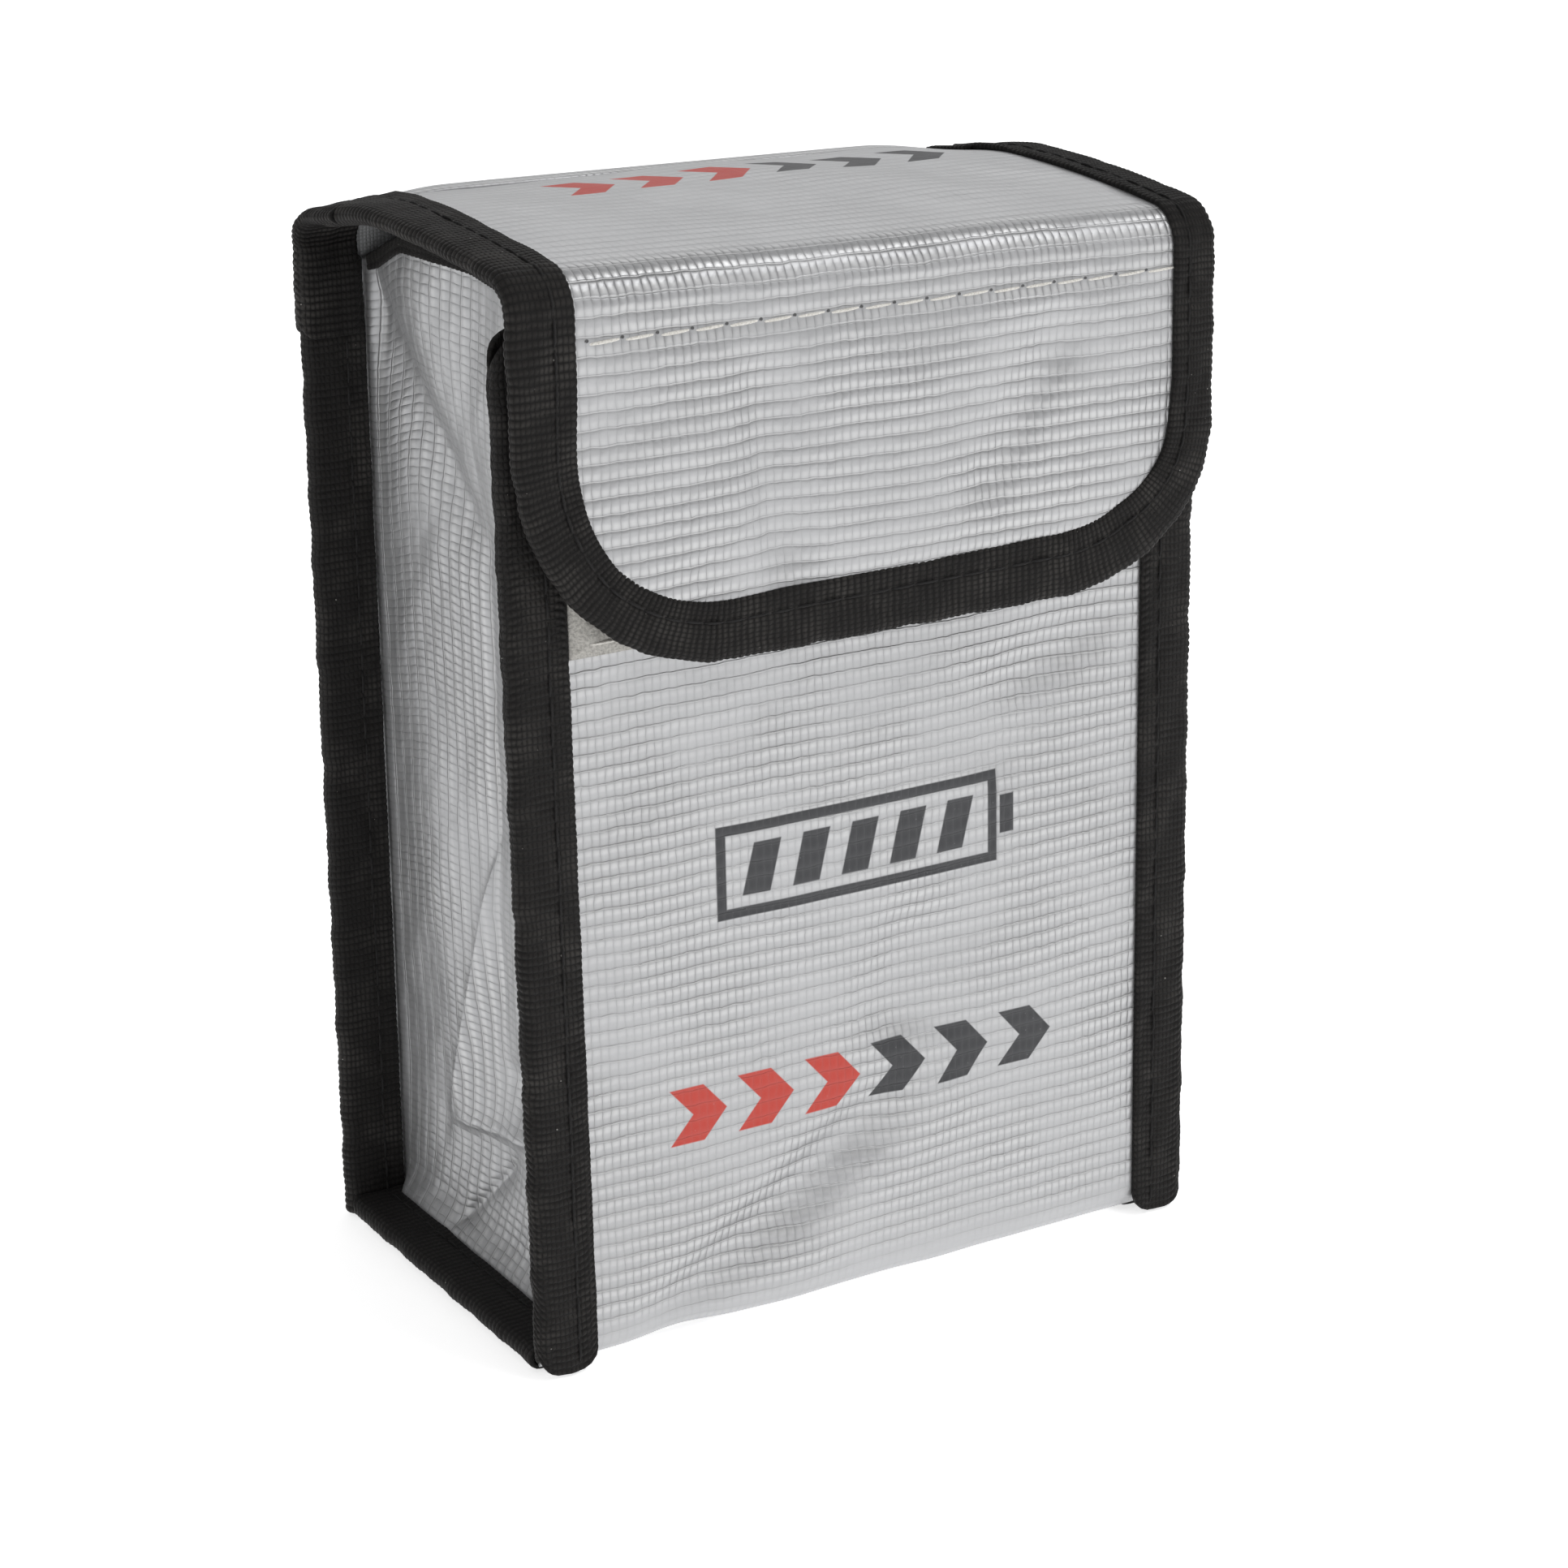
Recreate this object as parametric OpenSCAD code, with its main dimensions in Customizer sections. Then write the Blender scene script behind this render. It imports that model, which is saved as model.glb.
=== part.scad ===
// Foldable fire-resistant pouch for one battery: a strip of coated glass cloth runs up the
// front, under the base, up the back and over as lid and flap. Two creased gussets close the
// sides. Woven tape binds every seam, and the flap closes on hook and loop tape.
// Millimetres. Front is -Y, up is +Z, origin is under the middle of the bag.

/* [Bag] */
// Width over the bound side seams
bag_w = 84; // [78:1:96]
// Depth from the flap's tape to the back seams' tape
bag_d = 50; // [46:1:60]
// Height to the top of the lid's tape
bag_h = 120; // [112:1:140]
// Height of the mouth, where the walls end
mouth_z = 111.5; // [104:0.5:111.5]

/* [Cloth] */
// Thickness of the silver outer cloth
cloth_t = 0.5; // [0.4:0.1:0.6]
// Thickness of the inner lining
liner_t = 0.4; // [0.3:0.1:0.4]
// Radius of the fold between a wall and the base
base_r = 3; // [2:0.5:5]
// How far the gusset's crease stands inwards
crease_in = 3.1; // [1:0.1:5]

/* [Binding tape] */
// Thickness of one layer of tape
tape_t = 0.5; // [0.4:0.1:0.5]
// Width of the folded tape on each face of a seam
tape_w = 7; // [5:0.5:8]
// Depth of the tape that is folded over the mouth
mouth_tape_w = 6.5; // [4:0.5:8]

/* [Lid and flap] */
// Fall of the crowned lid from its top to its back edge
lid_fall = 5; // [3:0.5:6]
// Distance from the middle of the depth to the top of the crown, towards the front
crown_y = 4; // [0:1:6]
// Height of the flap's lower edge
flap_z = 78; // [70:1:84]
// Radius of the flap's lower corners
flap_r = 23; // [18:1:26]

/* [Closure] */
// Thickness of the hook tape
hook_t = 0.8; // [0.6:0.1:0.8]
// Thickness of the loop tape
loop_t = 1; // [0.8:0.1:1]
// Height of the loop tape's lower edge
loop_z = 80; // [74:1:84]
// Height of the loop tape
loop_h = 24.5; // [20:0.5:24.5]
// Width of the hook tape
hook_w = 56; // [40:1:56]
// Height of the hook tape
hook_h = 16; // [12:1:16]
// Length of one stitch
stitch_l = 2.9; // [2:0.1:3.2]
// Distance from one stitch to the next
stitch_pitch = 3.9; // [3.6:0.1:5]

/* [Hidden] */
$fn = 64;

// Gap between pieces on different bodies, and slack of cloth inside a folded tape
gap = 0.3;
slack = 0.05;
// How far a stitch stands out of the cloth
stitch_proud = 0.15;

// Colours
silver = [0.75, 0.76, 0.77];
lining = [0.62, 0.63, 0.65];
black = [0.12, 0.12, 0.12];
cream = [0.80, 0.78, 0.74];
grey = [0.45, 0.45, 0.46];
white = [0.95, 0.94, 0.90];

// Layers through the front, from the flap's tape inwards. Each is the outer face of its layer.
flap_tape_y = -bag_d / 2;
flap_y = flap_tape_y + tape_t;
flap_liner_y = flap_y + cloth_t;
hook_y = flap_liner_y + liner_t;
loop_y = hook_y + hook_t + gap + stitch_proud;
front_y = loop_y + loop_t;

// Back wall's outer face, and the stack in a seam: tape, wall, gap, gusset, tape
back_y = bag_d / 2 - tape_t - slack;
seam_t = 2 * cloth_t + gap + 2 * slack;
front_slot = [front_y - slack, front_y - slack + seam_t];
back_slot = [back_y + slack - seam_t, back_y + slack];
base_slot = [tape_t, tape_t + seam_t];

// Width of the seam's inner edge and of the cloth's edge inside the tape
seam_x = bag_w / 2 - tape_w;
edge_x = bag_w / 2 - tape_t - 0.2;
gusset_x = seam_x - cloth_t / 2 - 0.15;
liner_x = gusset_x - 0.7;
front_gusset_y = front_slot[1] - slack - cloth_t / 2;
back_gusset_y = back_slot[0] + slack + cloth_t / 2;

// Side profile of the walls' bends at the base
front_mid = front_y + cloth_t / 2;
back_mid = back_y - cloth_t / 2;
bend = [for (a = [0:9:90]) [cos(a), sin(a)] * base_r];
front_path = concat(
  [[front_mid, mouth_z]],
  [for (p = bend) [front_mid + base_r - p[0], cloth_t / 2 + base_r - p[1]]]
);
back_path = concat(
  [[back_mid, mouth_z]],
  [for (p = bend) [back_mid - base_r + p[0], cloth_t / 2 + base_r - p[1]]]
);
base_y = [front_mid + base_r + gap, back_mid - base_r - slack];
base_liner_x = seam_x - 1.8;

// The lid's side profile is a parabola, between the fold at the back and the fold at the flap
lid_top = bag_h - tape_t - cloth_t;
lid_back_y = bag_d / 2 - 3.2;
lid_front_y = -bag_d / 2 + 4.7;
lid_curve = lid_fall / pow(lid_back_y + crown_y, 2);
function lid_z(y) = lid_top - lid_curve * pow(y + crown_y, 2);
lid_steps = 14;
function lid_path(first, last) = [
  for (i = [first:last]) let (y = lid_front_y + (lid_back_y - lid_front_y) * i / lid_steps) [y, lid_z(y)]
];

// The flap's cloth starts just under the fold, and its tape a little lower
flap_top = lid_z(lid_front_y) - 2.2;
flap_tape_top = flap_top - 1.3;
hook_z = flap_z + 10.5;
stitch_z = flap_top - 2.2;

// The gusset in plan: the flange in the front seam, the creased wall, the flange in the back seam
gusset_path = [
  [edge_x, front_gusset_y], [gusset_x, front_gusset_y],
  [gusset_x - crease_in, (front_gusset_y + back_gusset_y) / 2],
  [gusset_x, back_gusset_y], [edge_x, back_gusset_y]
];
// The creased wall alone, clear of the seams at both ends
wall_y = [front_slot[1] + tape_t + gap, back_slot[0] - tape_t - gap];
function wall_x(y) = gusset_x
  - crease_in * (1 - abs(2 * y - front_gusset_y - back_gusset_y) / (back_gusset_y - front_gusset_y));
wall_path = [for (y = [wall_y[0], (front_gusset_y + back_gusset_y) / 2, wall_y[1]]) [wall_x(y), y]];

// Direction normal to the segment from point i to point i + 1, turned a quarter turn left
function normal(p, i) = let (d = p[i + 1] - p[i]) [-d[1], d[0]] / norm(d);
// The path moved sideways by a distance, mitred at its corners
function moved(p, dist) = [
  for (i = [0:len(p) - 1])
    let (a = normal(p, max(i - 1, 0)), b = normal(p, min(i, len(p) - 2)))
    p[i] + dist * (a + b) / (1 + a * b)
];
function reversed(p) = [for (i = [len(p) - 1:-1:0]) p[i]];

// A ribbon in the drawing plane, between two offsets of one path
module ribbon(path, d0, d1) {
  polygon(concat(moved(path, d0), reversed(moved(path, d1))));
}

// A side profile [y, z] extruded across the bag from x0 to x1
module across(x0, x1) {
  translate([x0, 0, 0]) rotate([90, 0, 90]) linear_extrude(x1 - x0) children();
}

// A front profile [x, z] extruded in depth from y0 to y1
module deep(y0, y1) {
  translate([0, y1, 0]) rotate([90, 0, 0]) linear_extrude(y1 - y0) children();
}

// A plan [x, y] extruded from z0 to z1
module tall(z0, z1) {
  translate([0, 0, z0]) linear_extrude(z1 - z0) children();
}

// A box between two corners
module block(low, high) {
  translate(low) cube(high - low);
}

// Its child on the right, or the same mirrored to the left
module on(side) {
  mirror([side == "left" ? 1 : 0, 0, 0]) children();
}

// A tape folded round a seam's edge, in cross-section: open inwards, slot from a to b
module folded_tape(a, b) {
  difference() {
    translate([seam_x, a - tape_t]) square([tape_w, b - a + 2 * tape_t]);
    translate([seam_x - 1, a]) square([tape_w - tape_t + 1, b - a]);
  }
}

// One stitch along X: a thread sunk into a face that looks to the front, so only a low arc shows
module stitch() {
  r = 0.4;
  rotate([0, 90, 0]) translate([0, r - stitch_proud, -stitch_l / 2]) linear_extrude(stitch_l)
    difference() {
      circle(r, $fn = 24);
      translate([-2 * r, stitch_proud - r]) square([4 * r, 4 * r]);
    }
}

// A row of stitches along X, centred on the bag
module stitch_row(half, y, z) {
  count = floor(2 * half / stitch_pitch);
  for (i = [0:count - 1]) translate([(i - (count - 1) / 2) * stitch_pitch, y, z]) stitch();
}

// The flap's outline, drawn in by a margin, with round lower corners and a straight top
module flap_outline(margin, top) {
  half = bag_w / 2 - margin;
  r = flap_r - margin;
  low = flap_z + margin;
  intersection() {
    translate([-half, low]) square([2 * half, top - low]);
    union() {
      translate([-half, low + r]) square([2 * half, top]);
      translate([-half + r, low]) square([2 * (half - r), top]);
      for (s = [-1, 1]) translate([s * (half - r), low + r]) circle(r);
    }
  }
}

module back_panel() {
  color(silver) {
    across(-seam_x + 1.2, seam_x - 1.2) ribbon(back_path, -cloth_t / 2, cloth_t / 2);
    block([-edge_x, back_y - cloth_t, base_r + 2], [edge_x, back_y, mouth_z]);
  }
}

module back_liner() {
  color(lining)
    block([-liner_x, back_y - cloth_t - liner_t, base_r + 1], [liner_x, back_y - cloth_t, mouth_z]);
}

module base_panel() {
  mid = base_slot[0] + slack + cloth_t / 2;
  half_path = [[seam_x - 0.2, mid], [edge_x, mid]];
  path = concat(
    [for (p = reversed(half_path)) [-p[0], p[1]]],
    [[-seam_x + 1.5, cloth_t / 2], [seam_x - 1.5, cloth_t / 2]],
    half_path
  );
  color(silver) deep(base_y[0], base_y[1]) ribbon(path, -cloth_t / 2, cloth_t / 2);
}

module base_liner() {
  color(lining)
    block([-base_liner_x, base_y[0], cloth_t], [base_liner_x, base_y[1], cloth_t + liner_t]);
}

module gusset() {
  low = base_slot[1] - slack - cloth_t;
  color(silver) {
    tall(low, mouth_z) ribbon(gusset_path, -cloth_t / 2, cloth_t / 2);
    block([wall_x(0) + 1, wall_y[0], low], [edge_x, wall_y[1], low + cloth_t]);
  }
}

module gusset_liner() {
  color(lining)
    tall(base_slot[1], mouth_z) ribbon(wall_path, cloth_t / 2, cloth_t / 2 + liner_t);
}

module back_binding() {
  color(black)
    tall(0, mouth_z) folded_tape(back_slot[0], back_slot[1]);
}

module base_binding() {
  color(black)
    deep(wall_y[0], wall_y[1]) folded_tape(base_slot[0], base_slot[1]);
}

module mouth_tape_side() {
  inner = cloth_t / 2 + liner_t;
  low = mouth_z - mouth_tape_w;
  color(black) {
    tall(low, mouth_z + tape_t) ribbon(wall_path, -cloth_t / 2 - tape_t, -cloth_t / 2);
    tall(low, mouth_z + tape_t) ribbon(wall_path, inner, inner + tape_t);
    tall(mouth_z, mouth_z + tape_t) ribbon(wall_path, -cloth_t / 2 - tape_t, inner + tape_t);
  }
}

module front_panel() {
  color(silver) {
    across(-seam_x + 1.2, seam_x - 1.2) ribbon(front_path, -cloth_t / 2, cloth_t / 2);
    block([-edge_x, front_y, base_r + 2], [edge_x, front_y + cloth_t, mouth_z]);
  }
}

module front_liner() {
  color(lining)
    block([-liner_x, front_y + cloth_t, base_r + 1], [liner_x, front_y + cloth_t + liner_t, mouth_z]);
}

module front_binding() {
  color(black)
    tall(0, mouth_z) folded_tape(front_slot[0], front_slot[1]);
}

module mouth_tape_front() {
  inner = front_y + cloth_t + liner_t;
  low = mouth_z - mouth_tape_w;
  half = liner_x;
  color(black) {
    block([-half, front_y - tape_t, low], [half, front_y, mouth_z + tape_t]);
    block([-half, inner, low], [half, inner + tape_t, mouth_z + tape_t]);
    block([-half, front_y - tape_t, mouth_z], [half, inner + tape_t, mouth_z + tape_t]);
  }
}

module loop_strip() {
  color(cream)
    block([-seam_x, loop_y, loop_z], [seam_x, front_y, loop_z + loop_h]);
}

module loop_stitching() {
  color(white)
    for (z = [loop_z + 1.5, loop_z + loop_h - 1.5]) stitch_row(seam_x - 1, loop_y, z);
}

module lid_panel() {
  color(silver)
    across(-edge_x, edge_x) ribbon(lid_path(0, lid_steps), 0, cloth_t);
}

module lid_liner() {
  color(lining)
    across(-edge_x, edge_x) ribbon(lid_path(0, lid_steps), -liner_t, 0);
}

// The lid's tape stops one step short of each fold, so that the folds stay clear as they turn
module lid_tape() {
  path = lid_path(1, lid_steps - 1);
  color(black) {
    across(seam_x, bag_w / 2) ribbon(path, cloth_t, cloth_t + tape_t);
    across(seam_x, bag_w / 2) ribbon(path, -liner_t - tape_t, -liner_t);
    across(bag_w / 2 - tape_t, bag_w / 2) ribbon(path, -liner_t - tape_t, cloth_t + tape_t);
  }
}

module flap_panel() {
  color(silver)
    deep(flap_y, flap_liner_y) flap_outline(tape_t, flap_top);
}

module flap_liner() {
  color(lining)
    deep(flap_liner_y, hook_y) flap_outline(tape_t, flap_top);
}

module flap_tape() {
  color(black) {
    for (y = [flap_tape_y, hook_y])
      deep(y, y + tape_t) difference() {
        flap_outline(0, flap_tape_top);
        flap_outline(tape_w, flap_tape_top + 1);
      }
    deep(flap_tape_y, hook_y + tape_t) difference() {
      flap_outline(0, flap_tape_top);
      flap_outline(tape_t, flap_tape_top + 1);
    }
  }
}

module hook_strip() {
  color(grey)
    block([-hook_w / 2, hook_y, hook_z], [hook_w / 2, hook_y + hook_t, hook_z + hook_h]);
}

module flap_stitching() {
  color(white) stitch_row(seam_x - 0.3, flap_y, stitch_z);
}

back_panel();
back_liner();
base_panel();
base_liner();
on("left") gusset();  // gusset_left
on("right") gusset();  // gusset_right
on("left") gusset_liner();  // gusset_liner_left
on("right") gusset_liner();  // gusset_liner_right
on("left") back_binding();  // back_binding_left
on("right") back_binding();  // back_binding_right
on("left") base_binding();  // base_binding_left
on("right") base_binding();  // base_binding_right
on("left") mouth_tape_side();  // mouth_tape_left
on("right") mouth_tape_side();  // mouth_tape_right
front_panel();
front_liner();
on("left") front_binding();  // front_binding_left
on("right") front_binding();  // front_binding_right
mouth_tape_front();
loop_strip();
loop_stitching();
lid_panel();
lid_liner();
on("left") lid_tape();  // lid_tape_left
on("right") lid_tape();  // lid_tape_right
flap_panel();
flap_liner();
flap_tape();
hook_strip();
flap_stitching();
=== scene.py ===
"""Looks of a foldable battery pouch of silver cloth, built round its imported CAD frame.

Sizes are millimetres until a mesh is made, which turns them into metres. Front is -Y, up is +Z.
One strip of silver cloth makes the front, the base, the back, the lid and the flap. Two gussets
close the sides, and ribbed black tape is folded over every seam.
"""

import logging
import math
from dataclasses import dataclass
from enum import Enum
from typing import Any, Callable, Sequence

import bpy
import numpy as np
from mathutils import Matrix, Vector


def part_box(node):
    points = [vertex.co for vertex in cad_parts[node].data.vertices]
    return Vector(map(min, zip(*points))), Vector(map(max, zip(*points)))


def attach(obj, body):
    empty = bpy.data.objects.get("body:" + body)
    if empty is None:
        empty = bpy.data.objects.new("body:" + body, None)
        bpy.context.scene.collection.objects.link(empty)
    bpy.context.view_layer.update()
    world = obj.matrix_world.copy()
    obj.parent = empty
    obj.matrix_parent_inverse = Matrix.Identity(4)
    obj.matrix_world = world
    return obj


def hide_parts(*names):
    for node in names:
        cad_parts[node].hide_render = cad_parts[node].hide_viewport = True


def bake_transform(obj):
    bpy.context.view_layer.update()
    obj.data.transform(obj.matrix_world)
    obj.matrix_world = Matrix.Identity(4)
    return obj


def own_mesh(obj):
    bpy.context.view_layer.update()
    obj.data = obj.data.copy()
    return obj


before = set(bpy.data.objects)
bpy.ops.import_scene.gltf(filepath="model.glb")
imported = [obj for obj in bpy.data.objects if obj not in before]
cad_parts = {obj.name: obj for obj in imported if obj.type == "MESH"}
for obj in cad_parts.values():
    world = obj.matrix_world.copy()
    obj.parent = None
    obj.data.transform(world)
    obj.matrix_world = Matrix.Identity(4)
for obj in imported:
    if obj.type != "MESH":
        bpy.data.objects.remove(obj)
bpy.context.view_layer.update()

Array = np.ndarray
Colour = tuple[float, float, float]
MM = 0.001
UV_NAME = "cloth_mm"
LOG = logging.getLogger("pouch")


def smooth(low: float, high: float, x: Array) -> Array:
    """Eased step: 0 at low, 1 at high, with level ends.

    Args:
        low: Where the step starts; it may be above high.
        high: Where the step ends.
        x: Places along the step.
    Returns:
        The step's height at each place.
    """
    t = np.clip((x - low) / (high - low), 0.0, 1.0)
    return t * t * (3 - 2 * t)


def wander(x: Array, seed: int, length: float) -> Array:
    """A slow wave that never quite repeats: four sines of unrelated lengths and fixed phases.

    Args:
        x: Places along the wave.
        seed: Picks the phases.
        length: Typical distance between two crests.
    Returns:
        The wave's height, within about -1 to 1.
    """
    phases = np.random.default_rng(seed).uniform(0, 2 * math.pi, 4)
    shares = (0.45, 0.3, 0.2, 0.15)
    scales = (1.0, 1.618, 2.414, 3.303)
    waves = [s * np.sin(2 * math.pi * k * x / length + p) for s, k, p in zip(shares, scales, phases)]
    return sum(waves)


def box_mm(node: str) -> tuple[Array, Array]:
    """Lowest and highest corner of a CAD node, in millimetres.

    Args:
        node: The node's name.
    Returns:
        The two corners.
    """
    low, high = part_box(node)
    return np.array(low) / MM, np.array(high) / MM


# ---------------------------------------------------------------- where the CAD frame says things are


@dataclass(frozen=True)
class Places:
    """Heights, depths and half widths that the pieces share, all read off the CAD frame.

    Attributes:
        edge: Half width over the seams' tape.
        seam: Half width at the tape's inner edges.
        cut: Half width of the cloth inside the tape.
        front: Outer face of the front wall.
        back: Outer face of the back wall.
        mouth: Height where the walls end.
        flap: Outer face of the flap's cloth.
        flap_low: Height of the flap's lower edge.
        front_seam: Middle of the front seams' thickness.
        back_seam: Middle of the back seams' thickness.
        base_seam: Middle of the base seams' thickness.
        seam_half: Half the thickness of a seam with its tape.
    """

    edge: float
    seam: float
    cut: float
    front: float
    back: float
    mouth: float
    flap: float
    flap_low: float
    front_seam: float
    back_seam: float
    base_seam: float
    seam_half: float

    @classmethod
    def read(cls) -> "Places":
        """The places, worked out from the CAD nodes' boxes."""
        front, back, flap = box_mm("front_panel"), box_mm("back_panel"), box_mm("flap_panel")
        tape, rear, base = (box_mm(f"{word}_binding_right") for word in ("front", "back", "base"))
        return cls(
            edge=tape[1][0],
            seam=tape[0][0],
            cut=front[1][0],
            front=front[0][1],
            back=back[1][1],
            mouth=front[1][2],
            flap=flap[0][1],
            flap_low=box_mm("flap_tape")[0][2],
            front_seam=(tape[0][1] + tape[1][1]) / 2,
            back_seam=(rear[0][1] + rear[1][1]) / 2,
            base_seam=(base[0][2] + base[1][2]) / 2,
            seam_half=(tape[1][1] - tape[0][1]) / 2,
        )


@dataclass(frozen=True)
class Posture:
    """How the soft bag stands: it leans a little to its left, and its lid sits higher on that side.

    Attributes:
        front_lean: How much further left the front's top is than its foot.
        back_lean: The same at the back.
        tilt: Rise of the lid's left edge, and fall of its right edge.
        droop: Fall of the lid's two back corners.
    """

    front_lean: float = 4.4
    back_lean: float = 2.4
    tilt: float = 1.0
    droop: float = 1.6
    height: float = 115.0
    half: float = 42.0

    def settle(self, points: Array) -> Array:
        """Moves points as the standing bag does: a shear along X, more at the front, and a lift on the lid.

        Args:
            points: Places on the straight bag, with X, Y and Z last.
        Returns:
            The same places on the leaning bag.
        """
        x, y, z = points[..., 0], points[..., 1], points[..., 2]
        share = np.clip((25.0 - y) / 50.0, 0.0, 1.0)
        lean = self.back_lean + (self.front_lean - self.back_lean) * share
        on_lid = smooth(107.0, 118.0, z)
        corner = smooth(26.0, 42.0, np.abs(x)) * smooth(6.0, 22.0, y)
        lift = on_lid * (-self.tilt * x / self.half - self.droop * corner)
        return np.stack([x - lean * (z / self.height - 0.5), y, z + lift], -1)


PLACES = Places.read()
POSTURE = Posture()


class Profile:
    """A side profile [y, z] that cloth follows, measured by the distance along it."""

    def __init__(self, points: Array, side: int = 1) -> None:
        """Measures the profile.

        Args:
            points: Close points along the cloth's outer face.
            side: 1 where outward is on the right of the way along, -1 where it is on the left.
        """
        steps = np.linalg.norm(np.diff(points, axis=0), axis=1)
        keep = np.concatenate([[True], steps > 1e-6])
        self.points = points[keep]
        self.along = np.concatenate([[0.0], np.cumsum(steps[steps > 1e-6])])
        tangent = np.gradient(self.points, self.along, axis=0)
        tangent /= np.linalg.norm(tangent, axis=1)[:, None]
        self.side = side
        self.normal = np.stack([tangent[:, 1], -tangent[:, 0]], -1) * side

    @property
    def length(self) -> float:
        """Distance from the profile's start to its end."""
        return float(self.along[-1])

    def at_height(self, z: float, last: bool = True) -> float:
        """Distance along the profile where it passes a height, for the last or the first time."""
        hits = np.nonzero(np.diff(np.sign(self.points[:, 1] - z)))[0]
        return float(self.along[hits[-1 if last else 0]])

    def at_depth(self, y: float) -> float:
        """Distance along the profile where it passes a depth on the lid."""
        lid = self.points[:, 1] > 117.0
        order = np.argsort(self.points[lid, 0])
        return float(np.interp(y, self.points[lid, 0][order], self.along[lid][order]))

    def lift(self, x: Array, q: Array, out: Array | float = 0.0) -> Array:
        """Points on the cloth or off it: along the profile by q, across the bag by x, and outwards.

        Args:
            x: Places across the bag.
            q: Distances along the profile.
            out: Heights above the cloth's outer face.
        Returns:
            The points, with X, Y and Z last.
        """
        x, q, out = np.broadcast_arrays(x, q, out)
        end = np.clip(q, 0.0, self.length)
        y, z = (np.interp(end, self.along, self.points[:, k]) for k in (0, 1))
        ny, nz = (np.interp(end, self.along, self.normal[:, k]) for k in (0, 1))
        past = (q - end) * self.side
        return np.stack([x, y + out * ny - past * nz, z + out * nz + past * ny], -1)


@dataclass(frozen=True)
class Rounds:
    """Radii and crown of the strip of cloth where it turns over the top and under the base."""

    back: float = 4.5
    front: float = 3.8
    base: float = 3.25
    crown: float = 119.6
    crown_y: float = -6.0
    fall: float = 0.0022
    step: float = 0.1

    def arc(self, centre: tuple[float, float], radius: float, start: float, end: float) -> Array:
        """Points on a round bend: centre plus radius times (cosine, sine), from one angle to another."""
        count = max(4, int(radius * abs(end - start) / self.step))
        angle = np.linspace(start, end, count)
        return np.array(centre) + radius * np.stack([np.cos(angle), np.sin(angle)], -1)

    def lid_z(self, y: Array) -> Array:
        """Height of the lid's cloth: a flat parabola about its crown."""
        return self.crown - self.fall * (y - self.crown_y) ** 2

    def over_the_top(self) -> Profile:
        """The profile from under the back wall, round its foot and up, over the lid and down the flap."""
        slope_back = math.atan(2 * self.fall * (PLACES.back - self.back - self.crown_y))
        slope_front = math.atan(2 * self.fall * (self.crown_y - PLACES.flap - self.front))
        y_back = PLACES.back - self.back
        turn = math.pi / 2 - slope_back
        first = y_back + self.back * math.cos(turn)
        z_back = float(self.lid_z(first)) - self.back * math.sin(turn)
        y_front = PLACES.flap + self.front
        turn_front = math.pi / 2 + slope_front
        last = y_front + self.front * math.cos(turn_front)
        z_front = float(self.lid_z(last)) - self.front * math.sin(turn_front)
        lid = np.arange(first, last, -self.step)
        up = np.arange(self.base, z_back, self.step)
        down = np.arange(z_front, PLACES.flap_low - 2.0, -self.step)
        return Profile(
            np.concatenate([
                self.arc((PLACES.back - self.base, self.base), self.base, -math.pi / 2, 0.0),
                np.stack([np.full_like(up, PLACES.back), up], -1),
                self.arc((y_back, z_back), self.back, 0.0, turn),
                np.stack([lid, self.lid_z(lid)], -1),
                self.arc((y_front, z_front), self.front, turn_front, math.pi),
                np.stack([np.full_like(down, PLACES.flap), down], -1),
            ])
        )

    def front_wall(self) -> Profile:
        """The profile from under the base, round the front bend and up the front wall to the mouth."""
        centre = (PLACES.front + self.base, self.base)
        up = np.arange(self.base, PLACES.mouth, self.step)
        return Profile(
            np.concatenate([
                self.arc(centre, self.base, -math.pi / 2, -math.pi),
                np.stack([np.full_like(up, PLACES.front), up], -1),
            ]),
            side=-1,
        )


ROUNDS = Rounds()
TOP = ROUNDS.over_the_top()
FRONT = ROUNDS.front_wall()
JOIN_Y = 18.0
LID_JOIN = TOP.at_depth(JOIN_Y)


@dataclass(frozen=True)
class Fold:
    """A soft fold in cloth: a ridge along a line, or a groove where its height is negative.

    Attributes:
        start: One end of the line, in the cloth's own two directions.
        end: Its other end.
        height: Height of the ridge.
        left: Width of the slope on the line's left.
        right: Width of the slope on its right.
        sharp: True for a pressed crease, False for a rounded fold.
    """

    start: tuple[float, float]
    end: tuple[float, float]
    height: float
    left: float
    right: float
    sharp: bool = False

    def raise_at(self, a: Array, b: Array) -> Array:
        """Height of the fold: a bell or a tent across its line, which fades out past both ends.

        Args:
            a: Places in the cloth's first direction.
            b: Places in its second direction.
        Returns:
            The height at each place.
        """
        da, db = self.end[0] - self.start[0], self.end[1] - self.start[1]
        length = math.hypot(da, db)
        along = ((a - self.start[0]) * da + (b - self.start[1]) * db) / length**2
        side = ((b - self.start[1]) * da - (a - self.start[0]) * db) / length
        width = self.right + (self.left - self.right) * smooth(-0.4, 0.4, side)
        reach = np.abs(side) / width
        across = np.exp(-1.6 * reach) if self.sharp else np.exp(-(reach**2))
        return self.height * across * smooth(-0.12, 0.2, along) * smooth(1.12, 0.8, along)


# ---------------------------------------------------------------- meshes


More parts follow.
